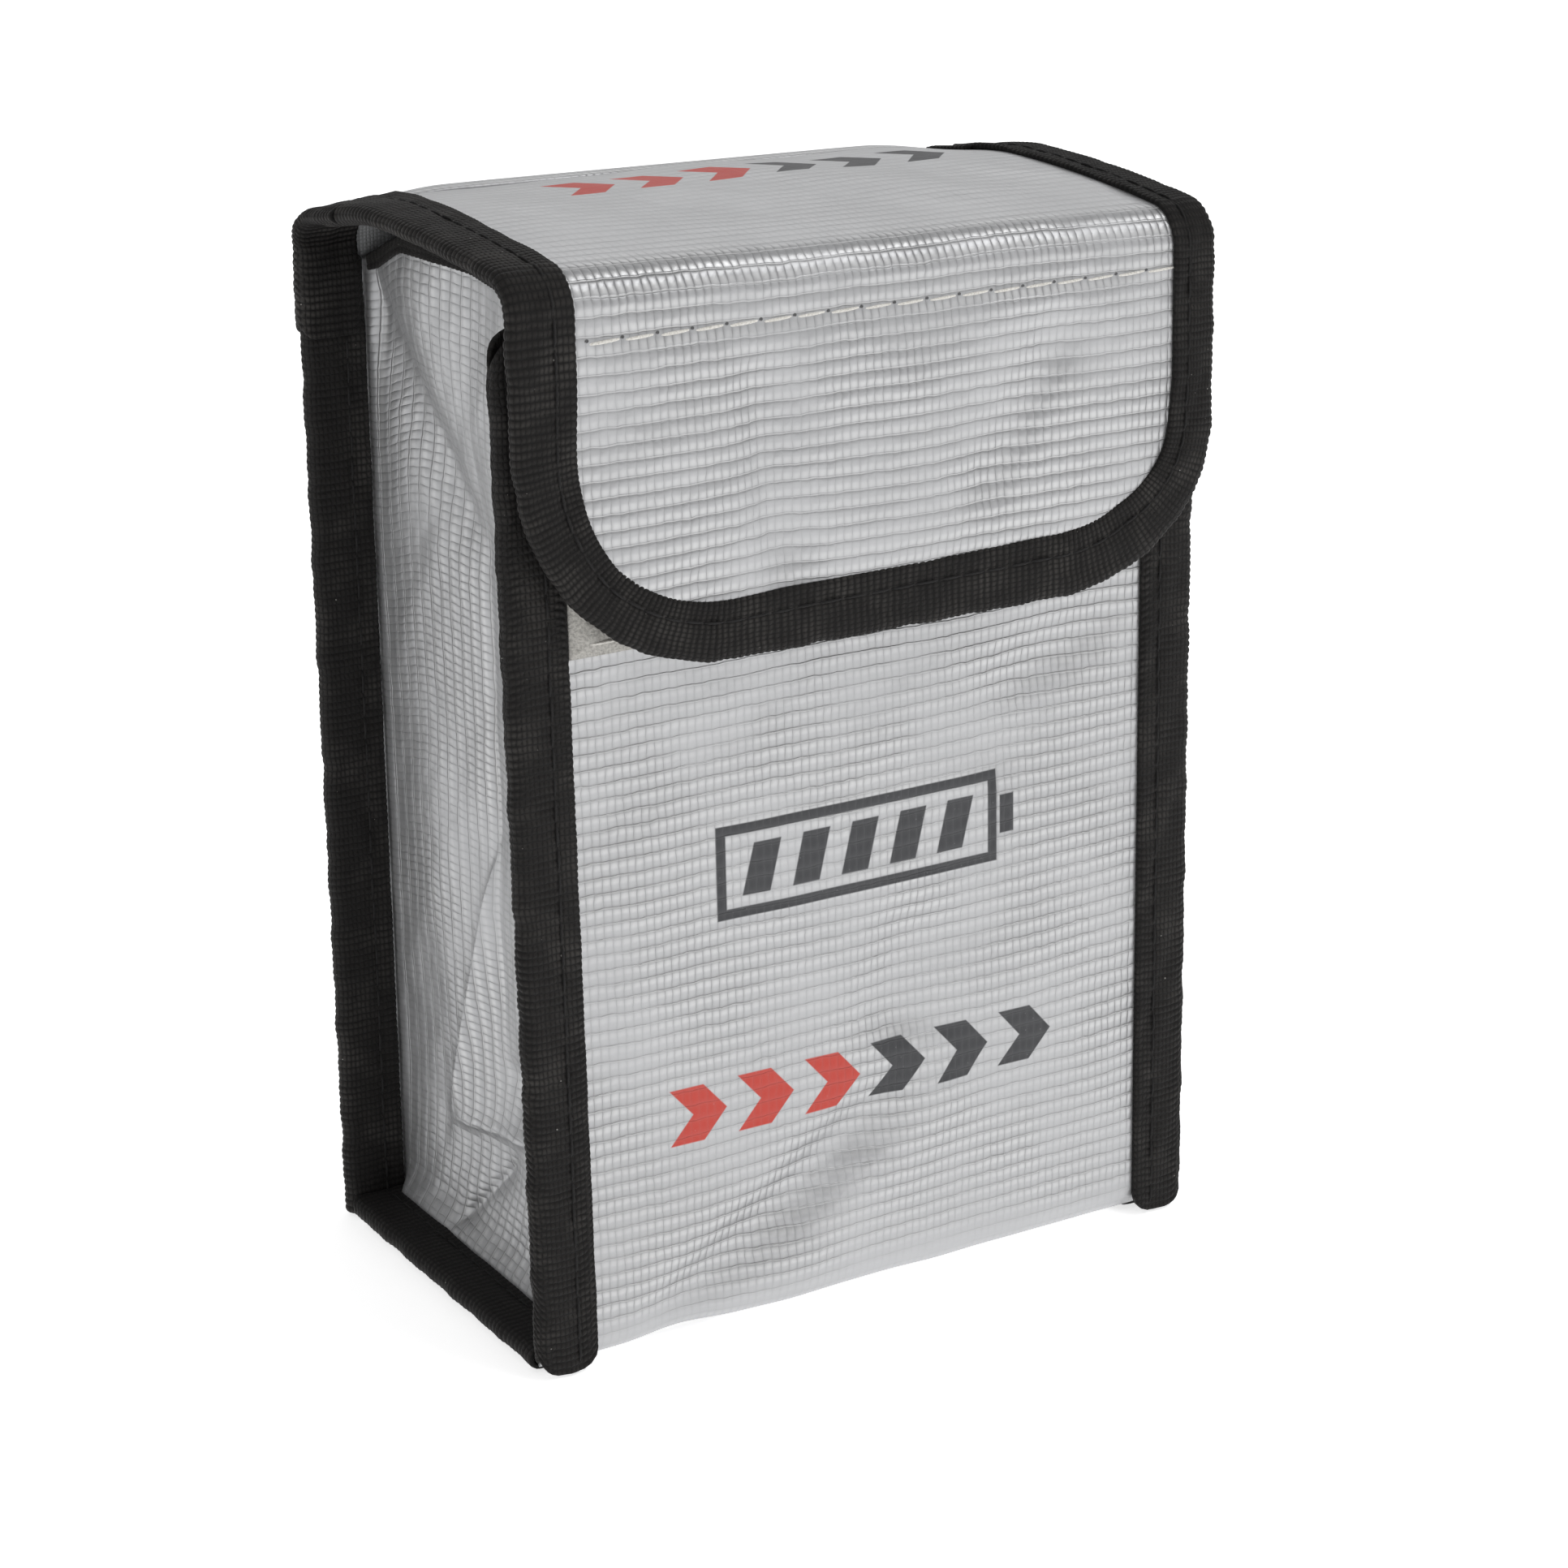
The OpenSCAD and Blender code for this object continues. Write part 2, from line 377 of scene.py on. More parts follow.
def grid_faces(rows: int, cols: int, ring: bool = False) -> Array:
    """Quads of a grid whose points are numbered row by row.

    Args:
        rows: Number of rows.
        cols: Number of points in a row.
        ring: True where each row closes on itself.
    Returns:
        One row of four point numbers for each quad.
    """
    i, j = np.meshgrid(np.arange(rows - 1), np.arange(cols if ring else cols - 1), indexing="ij")
    k = (j + 1) % cols
    return np.stack([i * cols + j, i * cols + k, (i + 1) * cols + k, (i + 1) * cols + j], -1).reshape(-1, 4)


def volume(points: Array, faces: Array) -> float:
    """Signed volume inside a closed mesh of quads: the sum of its faces' pyramids from the origin."""
    a, b, c, d = (points[faces[:, k]] for k in range(4))
    return float((np.einsum("ij,ij->i", a, np.cross(b, c)) + np.einsum("ij,ij->i", a, np.cross(c, d))).sum())


class Body(Enum):
    """What a piece rides on."""

    ROOT = "root"
    FRONT = "front_wall"
    LID = "lid"
    FLAP = "flap"
    SQUASH = "squash"
    BACK_FOLD = "back_fold"
    FRONT_FOLD = "front_fold"


@dataclass(frozen=True)
class Ride:
    """How pieces follow the bag's three movements.

    Attributes:
        travel: How far the front wall moves back when the empty bag is pressed flat; not used.
    """

    travel: float = 38.0

    def attach(self, piece: bpy.types.Object, body: Body) -> None:
        """Makes a finished piece follow its body; a piece on a fold keeps its place, and one that goes with
        the gussets rides on the root.

        Args:
            piece: The finished piece.
            body: What it rides on.
        """
        if body is Body.BACK_FOLD:
            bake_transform(piece)
        elif body is Body.FRONT_FOLD:
            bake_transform(piece)
        elif body is Body.SQUASH:
            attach(piece, "root")
            anchor = (PLACES.back - 0.25) * MM
            places = np.zeros(3 * len(piece.data.vertices))
            piece.data.vertices.foreach_get("co", places)
            reach = anchor - float(places[1::3].min())
            keep = 1 - self.travel * MM / reach
            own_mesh(piece)
        else:
            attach(piece, body.value)


RIDE = Ride()


@dataclass(frozen=True)
class Dress:
    """What a piece is called, worn and fixed to.

    Attributes:
        name: The piece's name.
        finish: Its material.
        slot: The record's material slot; not used.
        body: What it rides on.
        replaces: The CAD nodes that it stands for.
    """

    name: str
    finish: bpy.types.Material
    slot: str
    body: Body
    replaces: tuple[str, ...] = ()


def make_mesh(dress: Dress, points: Array, faces: Array, uv: Array) -> bpy.types.Object:
    """Makes one object from points in millimetres, which it settles into the bag's posture.

    Args:
        dress: The piece's name and finish.
        points: One row of X, Y and Z for each point.
        faces: One row of four point numbers for each quad.
        uv: One row of two cloth coordinates in millimetres for each point.
    Returns:
        The object, not yet fixed to a body.
    """
    mesh = bpy.data.meshes.new(dress.name)
    mesh.from_pydata((POSTURE.settle(points) * MM).tolist(), [], faces.tolist())
    layer = mesh.uv_layers.new(name=UV_NAME)
    corners = np.zeros(len(mesh.loops), np.int32)
    mesh.loops.foreach_get("vertex_index", corners)
    layer.data.foreach_set("uv", uv[corners].astype(np.float32).ravel())
    mesh.polygons.foreach_set("use_smooth", np.ones(len(mesh.polygons), bool))
    mesh.materials.append(dress.finish)
    mesh.validate()
    mesh.update()
    piece = bpy.data.objects.new(dress.name, mesh)
    bpy.context.scene.collection.objects.link(piece)
    return piece


def fix(piece: bpy.types.Object, dress: Dress) -> bpy.types.Object:
    """Fixes a finished piece to its body, hides the CAD nodes that it replaces, and reports it.

    Args:
        piece: The finished piece.
        dress: Its body and replaced nodes.
    Returns:
        The same piece.
    """
    RIDE.attach(piece, dress.body)
    if dress.replaces:
        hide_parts(*dress.replaces)
    LOG.info("%s: %d faces on %s", piece.name, len(piece.data.polygons), dress.body.value)
    return piece


def make_sheet(
    dress: Dress,
    points: Array,
    uv: Array,
    outward: Sequence[float],
    thickness: float,
    flat: tuple[float, float],
) -> bpy.types.Object:
    """Makes a sheet of cloth from a grid on its outer face, and gives it its thickness inwards.

    Args:
        dress: The piece's name, finish and body.
        points: A grid of points, with X, Y and Z last.
        uv: A grid of two cloth coordinates in millimetres.
        outward: Roughly where the outer face looks, to turn the faces outwards.
        thickness: The cloth's thickness.
        flat: The size that it was cut to; not used.
    Returns:
        The sheet.
    """
    rows, cols = points.shape[:2]
    flat_points = points.reshape(-1, 3)
    faces = grid_faces(rows, cols)
    across = flat_points[faces[:, 2]] - flat_points[faces[:, 0]]
    normals = np.cross(across, flat_points[faces[:, 3]] - flat_points[faces[:, 1]])
    centres = flat_points[faces].mean(1)
    aim = np.array(outward, float)
    middle = flat_points.mean(0)
    facing = normals @ aim if aim.any() else np.einsum("ij,ij->i", normals, centres - middle)
    if float(facing.sum()) < 0:
        faces = faces[:, ::-1]
    piece = make_mesh(dress, flat_points, faces, uv.reshape(-1, 2))
    wall = piece.modifiers.new("thickness", "SOLIDIFY")
    wall.thickness = thickness * MM
    wall.offset = -1.0
    fix(piece, dress)
    flat[0] * MM
    flat[1] * MM
    return piece


# ---------------------------------------------------------------- finishes


class Graph:
    """A material under construction: makes nodes and joins them."""

    def __init__(self, name: str) -> None:
        """Starts an empty material."""
        self.material = bpy.data.materials.new(name)
        self.material.use_nodes = True
        self.tree = self.material.node_tree
        self.tree.nodes.clear()

    def node(self, kind: str, settings: dict[str, Any] | None = None, **sockets: Any) -> bpy.types.Node:
        """Makes one node.

        Args:
            kind: The node's type.
            settings: Its properties, set before its sockets. "stops" gives a ramp's (place, colour) pairs.
            sockets: Values or links of its inputs, with _ for a space, or in<number> for an input's number.
        Returns:
            The node.
        """
        made = self.tree.nodes.new(kind)
        for key, value in (settings or {}).items():
            if key == "stops":
                while len(made.color_ramp.elements) < len(value):
                    made.color_ramp.elements.new(0.5)
                for element, (place, colour) in zip(made.color_ramp.elements, value):
                    element.position, element.color = place, (*colour, 1.0)
            else:
                setattr(made, key, value)
        for key, value in sockets.items():
            number = key[2:] if key.startswith("in") and key[2:].isdigit() else None
            socket = made.inputs[int(number)] if number else made.inputs[key.replace("_", " ")]
            self.feed(socket, value)
        return made

    def feed(self, socket: bpy.types.NodeSocket, value: Any) -> None:
        """Links a value to a socket, or sets a constant on it."""
        if isinstance(value, Value):
            self.tree.links.new(value.socket, socket)
        elif isinstance(value, bpy.types.NodeSocket):
            self.tree.links.new(value, socket)
        elif socket.type == "RGBA" and len(value) == 3:
            socket.default_value = (*value, 1.0)
        else:
            socket.default_value = value

    def value(self, node: bpy.types.Node, output: int | str = 0) -> "Value":
        """One output of a node, as a value with operators."""
        return Value(self, node.outputs[output])

    def cloth(self) -> tuple["Value", "Value"]:
        """The two cloth coordinates of a piece, in millimetres."""
        place = self.node("ShaderNodeUVMap", {"uv_map": UV_NAME})
        parts = self.node("ShaderNodeSeparateXYZ", None, Vector=place.outputs[0])
        return self.value(parts, 0), self.value(parts, 1)

    def noise(self, u: "Value", v: "Value", scale: float, detail: float = 2.0, rough: float = 0.5) -> "Value":
        """Smooth noise over the cloth, from 0 to 1.

        Args:
            u: First cloth coordinate.
            v: Second cloth coordinate.
            scale: Lumps per millimetre.
            detail: Number of finer layers.
            rough: Strength of the finer layers.
        Returns:
            The noise.
        """
        place = self.node("ShaderNodeCombineXYZ", None, X=u, Y=v)
        made = self.node(
            "ShaderNodeTexNoise", None, Vector=place.outputs[0], Scale=scale, Detail=detail, Roughness=rough
        )
        return self.value(made, 0)

    def specks(self, u: "Value", v: "Value", scale: float, size: float) -> "Value":
        """Scattered round specks: 1 within a share of the distance to the nearest scattered point, else 0."""
        place = self.node("ShaderNodeCombineXYZ", None, X=u, Y=v)
        cells = self.node("ShaderNodeTexVoronoi", None, Vector=place.outputs[0], Scale=scale)
        return 1 - self.value(cells, "Distance").step(size * 0.6, size)

    def mix(self, share: "Value | float", low: Any, high: Any) -> bpy.types.NodeSocket:
        """A colour between two colours.

        Args:
            share: 0 for the first colour, 1 for the second.
            low: The first colour, or a colour socket.
            high: The second colour, or a colour socket.
        Returns:
            The mixed colour's socket.
        """
        made = self.node("ShaderNodeMix", {"data_type": "RGBA"}, in0=share, in6=low, in7=high)
        return made.outputs[2]

    def bump(self, height: "Value", under: bpy.types.NodeSocket | None = None) -> bpy.types.NodeSocket:
        """A normal that shows a height in millimetres, over another normal if one is given."""
        made = self.node("ShaderNodeBump", None, Strength=1.0, Distance=MM, Height=height)
        if under is not None:
            self.feed(made.inputs["Normal"], under)
        return made.outputs[0]

    def finish(self, **sockets: Any) -> bpy.types.Material:
        """Ends the material with one Principled shader.

        Args:
            sockets: The shader's inputs.
        Returns:
            The material.
        """
        shader = self.node("ShaderNodeBsdfPrincipled", None, **sockets)
        self.node("ShaderNodeOutputMaterial", None, Surface=shader.outputs[0])
        return self.material


@dataclass(frozen=True)
class Value:
    """A number that varies over a surface: an output socket whose operators add Math nodes."""

    graph: Graph
    socket: bpy.types.NodeSocket

    def math(self, operation: str, *numbers: Any) -> "Value":
        """The result of one Math node on the numbers given."""
        sockets = {f"in{k}": n for k, n in enumerate(numbers)}
        made = self.graph.node("ShaderNodeMath", {"operation": operation}, **sockets)
        return Value(self.graph, made.outputs[0])

    def __add__(self, other: Any) -> "Value":
        """Sum."""
        return self.math("ADD", self, other)

    __radd__ = __add__

    def __sub__(self, other: Any) -> "Value":
        """Difference."""
        return self.math("SUBTRACT", self, other)

    def __rsub__(self, other: Any) -> "Value":
        """Difference the other way round."""
        return self.math("SUBTRACT", other, self)

    def __mul__(self, other: Any) -> "Value":
        """Product."""
        return self.math("MULTIPLY", self, other)

    __rmul__ = __mul__

    def __truediv__(self, other: Any) -> "Value":
        """Quotient."""
        return self.math("DIVIDE", self, other)

    def __rtruediv__(self, other: Any) -> "Value":
        """Quotient the other way round."""
        return self.math("DIVIDE", other, self)

    def __pow__(self, other: Any) -> "Value":
        """Power."""
        return self.math("POWER", self, other)

    def __rpow__(self, other: Any) -> "Value":
        """Power the other way round."""
        return self.math("POWER", other, self)

    def abs(self) -> "Value":
        """Size without sign."""
        return self.math("ABSOLUTE", self)

    def sin(self) -> "Value":
        """Sine."""
        return self.math("SINE", self)

    def fract(self) -> "Value":
        """What is left past the whole number below."""
        return self.math("FRACT", self)

    def low(self, other: Any) -> "Value":
        """The smaller of two."""
        return self.math("MINIMUM", self, other)

    def high(self, other: Any) -> "Value":
        """The larger of two."""
        return self.math("MAXIMUM", self, other)

    def above(self, other: Any) -> "Value":
        """1 where this is greater, else 0."""
        return self.math("GREATER_THAN", self, other)

    def step(self, low: float, high: float) -> "Value":
        """Eased step from 0 at low to 1 at high."""
        made = self.graph.node(
            "ShaderNodeMapRange", {"interpolation_type": "SMOOTHSTEP"},
            Value=self, From_Min=low, From_Max=high,
        )
        return Value(self.graph, made.outputs[0])


class Mark(Enum):
    """What is printed on a piece of silver cloth."""

    NONE = "plain"
    FRONT = "front"
    LID = "lid"


@dataclass(frozen=True)
class Print:
    """Ink on the silver cloth: a battery sign, and a row of chevrons in two colours."""

    dark: Colour = (0.040, 0.041, 0.045)
    red: Colour = (0.56, 0.052, 0.034)
    battery: tuple[float, float] = (-1.5, 53.6)
    battery_half: tuple[float, float] = (17.5, 5.3)
    row_front: tuple[float, float] = (-1.0, 26.8)
    row_lid: tuple[float, float] = (6.5, 10.5)
    chevrons: int = 6
    pitch: float = 8.3
    line: float = 1.15

    def rectangle(self, u: Value, v: Value, centre: tuple[float, float], half: tuple[float, float]) -> Value:
        """Distance outside a rectangle, negative inside: the larger of the two sideways distances."""
        return ((u - centre[0]).abs() - half[0]).high((v - centre[1]).abs() - half[1])

    def battery_sign(self, u: Value, v: Value) -> Value:
        """Ink of a battery: an outline with a contact on its right and five slanted charge bars inside."""
        (cx, cz), (w, h) = self.battery, self.battery_half
        shell = self.rectangle(u, v, self.battery, self.battery_half)
        outline = 1 - (shell + self.line / 2).abs().step(self.line / 2 - 0.1, self.line / 2 + 0.1)
        contact = 1 - self.rectangle(u, v, (cx + w + 1.3, cz), (0.9, h * 0.42)).step(-0.1, 0.1)
        slant = u - cx + (v - cz) * -0.25
        pitch = w * 0.345
        bar = ((slant / pitch + 10.5).fract() - 0.5).abs() * pitch
        bars = (1 - bar.step(1.55, 1.75)) * (1 - (shell + 2.4).step(-0.1, 0.1))
        return outline.high(contact).high(bars)

    def chevron_row(self, u: Value, v: Value, centre: tuple[float, float], half: float) -> Value:
        """Ink of a row of chevrons: bands that slope one way above the middle and the other way below."""
        width = self.chevrons * self.pitch / 2
        tall = (v - centre[1]).abs()
        place = ((u - centre[0] + tall * 0.85 + width - 1.2) / self.pitch).fract() * self.pitch
        band = 1 - (place - self.pitch / 2).abs().step(1.95, 2.15)
        inside = 1 - ((u - centre[0] + tall * 0.85 - 1.2).abs() - width).high(tall - half).step(-0.1, 0.1)
        return band * inside

    def ink(self, graph: Graph, mark: Mark, u: Value, v: Value) -> tuple[Value, bpy.types.NodeSocket]:
        """Where the ink is, and its colour.

        Args:
            graph: The material.
            mark: Which print the piece carries.
            u: Place across the bag.
            v: Height on the front, or place along the lid.
        Returns:
            The ink's mask and its colour.
        """
        centre = self.row_front if mark is Mark.FRONT else (self.row_lid[0], TOP.at_depth(self.row_lid[1]))
        mask = self.chevron_row(u, v, centre, 3.3 if mark is Mark.FRONT else 3.6)
        red = 1 - (u - centre[0] + (v - centre[1]).abs() * 0.85 - 1.2).step(-0.3, 0.3)
        if mark is Mark.FRONT:
            mask = mask.high(self.battery_sign(u, v))
            red = red * (1 - v.step(38.0, 39.0))
        return mask, graph.mix(red, self.dark, self.red)


@dataclass(frozen=True)
class SilverCloth:
    """Coated glass cloth: rows of small raised beads, with a fine thread in the groove between rows.

    Attributes:
        bead: Width of one bead.
        row: Height of one row.
        depth: Height of a bead.
        base: Colour of the coating.
        groove: Colour of the painted shade in the grooves between beads and rows.
        thread: Colour of the painted highlight on the fine thread and on each bead's upper part.
        rough: Roughness of the coating.
        metal: Share of metal in its look.
    """

    bead: float = 0.95
    row: float = 1.75
    depth: float = 0.17
    base: Colour = (0.48, 0.483, 0.492)
    groove: Colour = (0.25, 0.25, 0.254)
    thread: Colour = (0.74, 0.74, 0.735)
    rough: float = 0.40
    metal: float = 0.74

    def make(
        self, name: str, mark: Mark = Mark.NONE, holes: tuple[float, float] | None = None,
        calm: float | None = None,
    ) -> bpy.types.Material:
        """Makes the cloth's material.

        Args:
            name: The material's name.
            mark: What is printed on it.
            holes: Pitch of the needle holes of a seam, and the cloth coordinate of their row.
            calm: Cloth coordinate up to which the cloth is worn smooth.
        Returns:
            The material.
        """
        g = Graph(name)
        u, v = g.cloth()
        drift = (g.noise(u, v, 0.035, 1.0) - 0.5) * 1.6
        stray = (g.noise(u, v, 0.55, 1.0) - 0.5) * 0.35
        across = ((u + stray) / self.bead).fract()
        along = ((v + drift + stray) / self.row).fract()
        bulge_u = (across * (1 - across) * 4) ** 0.60
        bulge_v = (along * (1 - along) * 4) ** 0.50
        thread = 1 - (along - 0.93).abs().step(0.02, 0.075)
        strong = g.noise(u, v, 0.06, 2.0).step(0.34, 0.64) * 0.6 + 0.4
        if calm is not None:
            strong = strong * (v.step(calm - 1.5, calm + 2.5) * 0.8 + 0.2)
        beads = (bulge_u * 0.55 + 0.45) * bulge_v
        # Painted highlight on the upper part of each bead.
        shine = bulge_u * (1 - (along - 0.64).abs().step(0.05, 0.30))
        grain = g.noise(u, v, 5.0, 2.0)
        creases = g.noise(u, v, 0.12, 3.0, 0.55)
        height = (beads * self.depth + thread * 0.06) * strong + grain * 0.012 + creases * 0.46
        # Painted shade: darker towards the groove colour between beads and between rows; the broad noise adds
        # random tone.
        shade = ((1 - bulge_u) * 0.36 + (1 - bulge_v) * 0.70) * strong
        shade = shade + (g.noise(u, v, 0.02, 2.0) - 0.5) * 0.3
        colour = g.mix(shade.high(0.0).low(1.0), self.base, self.groove)
        # Painted highlight: the fine thread and the bead tops are lightened towards the thread colour.
        colour = g.mix((shine * 0.45).high(thread * 0.40) * strong, colour, self.thread)
        rough = self.rough + (g.noise(u, v, 0.09, 3.0) - 0.5) * 0.14 + (1 - beads) * 0.08
        metal = self.metal
        if mark is not Mark.NONE:
            mask, ink = Print().ink(g, mark, u, v)
            worn = mask * (0.90 + beads * 0.1) * (1 - g.specks(u, v, 0.9, 0.10) * 0.12)
            colour = g.mix(worn, colour, ink)
            rough = rough + worn * 0.12
            metal = metal * (1 - worn * 0.95)
        if holes is not None:
            place = ((u / holes[0]).fract() - 0.5) * holes[0]
            hole = 1 - (place**2 + ((v - holes[1]) * 1.2) ** 2).step(0.01, 0.06)
            colour = g.mix(hole * 0.85, colour, (0.06, 0.06, 0.06))
            height = height - hole * 0.15
        return g.finish(
            Base_Color=colour, Roughness=rough, Metallic=metal, Normal=g.bump(height), Specular_IOR_Level=0.45
        )


@dataclass(frozen=True)
class Lining:
    """Plain woven lining with a dull silver back: a fine over-and-under weave."""

    thread: float = 0.42
    base: Colour = (0.50, 0.505, 0.515)
    shade: Colour = (0.33, 0.335, 0.345)

    def make(self) -> bpy.types.Material:
        """Makes the lining's material."""
        g = Graph("lining_cloth")
        u, v = g.cloth()
        warp = (u * (math.pi / self.thread)).sin()
        weft = (v * (math.pi / self.thread)).sin()
        weave = (warp * weft).abs() ** 0.6
        wear = g.noise(u, v, 0.05, 3.0)
        colour = g.mix((1 - weave) * 0.6 + (wear - 0.5) * 0.5, self.base, self.shade)
        height = weave * 0.05 + g.noise(u, v, 0.11, 3.0) * 0.6
        rough = 0.5 + wear * 0.2
        return g.finish(Base_Color=colour, Roughness=rough, Metallic=0.35, Normal=g.bump(height))


@dataclass(frozen=True)
class Webbing:
    """Black binding tape: threads run across it as ribs, and each rib shows its small beads.

    Attributes:
        bead: Distance between two beads on a rib.
        rib: Distance between two ribs.
        base: Colour on the ribs.
        deep: Colour of the painted shade between the ribs and beads.
        worn: Colour of the lint and the worn threads.
    """

    bead: float = 0.55
    rib: float = 0.8
    base: Colour = (0.0125, 0.0108, 0.0100)
    deep: Colour = (0.0030, 0.0027, 0.0026)
    worn: Colour = (0.060, 0.056, 0.052)

    def make(self, name: str, relief: float, grey: float) -> bpy.types.Material:
        """Makes the tape's material.

        Args:
            name: The material's name.
            relief: Height of the beads.
            grey: How worn and grey the ribs look.
        Returns:
            The material.
        """
        g = Graph(name)
        u, v = g.cloth()
        stray = (g.noise(u, v, 0.8, 2.0) - 0.5) * 0.3
        rib = (((v + stray) * (math.pi / self.rib)).sin()).abs()
        bead = (((u + stray) * (math.pi / self.bead)).sin()).abs() ** 0.7
        fibre = g.noise(u * 6, v, 3.0, 3.0, 0.7)
        patch = g.noise(u, v, 0.16, 3.0)
        top = rib * bead
        height = bead * rib * relief + fibre * 0.05
        # Painted shade: darker towards the deep colour off the rib and bead tops, with random fibre tone.
        colour = g.mix(top * 0.9 + fibre * 0.25, self.deep, self.base)
        colour = g.mix(top * patch.step(0.42, 0.75) * grey, colour, self.worn)
        lint = g.specks(u, v, 0.32, 0.035) + g.specks(u + 7, v * 0.6, 0.55, 0.022)
        colour = g.mix(lint.low(1.0) * 0.8, colour, (0.33, 0.32, 0.30))
        rough = 0.62 + patch * 0.22
        return g.finish(
            Base_Color=colour,
            Roughness=rough,
            Normal=g.bump(height),
            Specular_IOR_Level=0.25,
            Sheen_Weight=0.04,
            Sheen_Roughness=0.45,
            Sheen_Tint=(0.75, 0.74, 0.72, 1.0),
        )


@dataclass(frozen=True)
class Plain:
    """A plain fibre finish for threads, hooks and loops: one colour, with painted shade between its fibres.
    """

    base: Colour
    deep: Colour
    scale: float
    relief: float
    rough: float = 0.7
    sheen: float = 0.15

    def make(self, name: str) -> bpy.types.Material:
        """Makes the material."""
        g = Graph(name)
        u, v = g.cloth()
        fuzz = g.noise(u, v, self.scale, 4.0, 0.65)
        broad = g.noise(u, v, self.scale * 0.12, 2.0)
        # Painted shade: the low parts of the fuzz bump are darkened towards the deep colour; the broad noise
        # adds random tone.
        colour = g.mix((fuzz.step(0.3, 0.65) * 0.8 + broad * 0.4).low(1.0), self.deep, self.base)
        return g.finish(
            Base_Color=colour,
            Roughness=self.rough + (broad - 0.5) * 0.2,
            Normal=g.bump(fuzz * self.relief),
            Sheen_Weight=self.sheen,
        )


@dataclass
class Finishes:
    """Every material, made once."""

    front: bpy.types.Material
    back: bpy.types.Material
    lid: bpy.types.Material
    plain: bpy.types.Material
    gusset: bpy.types.Material
    lining: bpy.types.Material
    tape: bpy.types.Material
    flat_tape: bpy.types.Material
    hook: bpy.types.Material
    loop: bpy.types.Material
    thread: bpy.types.Material
    black_thread: bpy.types.Material

    @classmethod
    def make(cls, stitch_pitch: float, stitch_q: float) -> "Finishes":
        """Makes the materials.

        Args:
            stitch_pitch: Distance between two needle holes on the flap.
            stitch_q: Where their row lies along the strip of cloth.
        Returns:
            The materials.
        """
        silver = SilverCloth()
        return cls(
            front=silver.make("silver_front", Mark.FRONT, calm=4.0),
            back=silver.make("silver_back"),
            lid=silver.make(
                "silver_flap", Mark.LID, holes=(stitch_pitch, stitch_q), calm=TOP.at_depth(-20.0)
            ),
            plain=silver.make("silver_plain"),
            gusset=SilverCloth(depth=0.15, base=(0.47, 0.474, 0.484), rough=0.43).make("silver_gusset"),
            lining=Lining().make(),
            tape=Webbing().make("ribbed_tape", 0.10, 0.75),
            flat_tape=Webbing().make("flat_tape", 0.05, 0.25),
            hook=Plain((0.30, 0.30, 0.31), (0.12, 0.12, 0.12), 2.5, 0.1, 0.5).make("hook_tape"),
            loop=Plain((0.62, 0.60, 0.56), (0.30, 0.29, 0.27), 3.0, 0.35, 0.9).make("loop_tape"),
            thread=Plain((0.86, 0.84, 0.79), (0.58, 0.55, 0.50), 4.0, 0.08).make("white_thread"),
            black_thread=Plain(
                (0.009, 0.008, 0.008), (0.003, 0.003, 0.003), 4.0, 0.06, 0.85, 0.0
            ).make("black_thread"),
        )


# ---------------------------------------------------------------- tape folded over an edge


Route = Callable[[Array, Array, Array], Array]


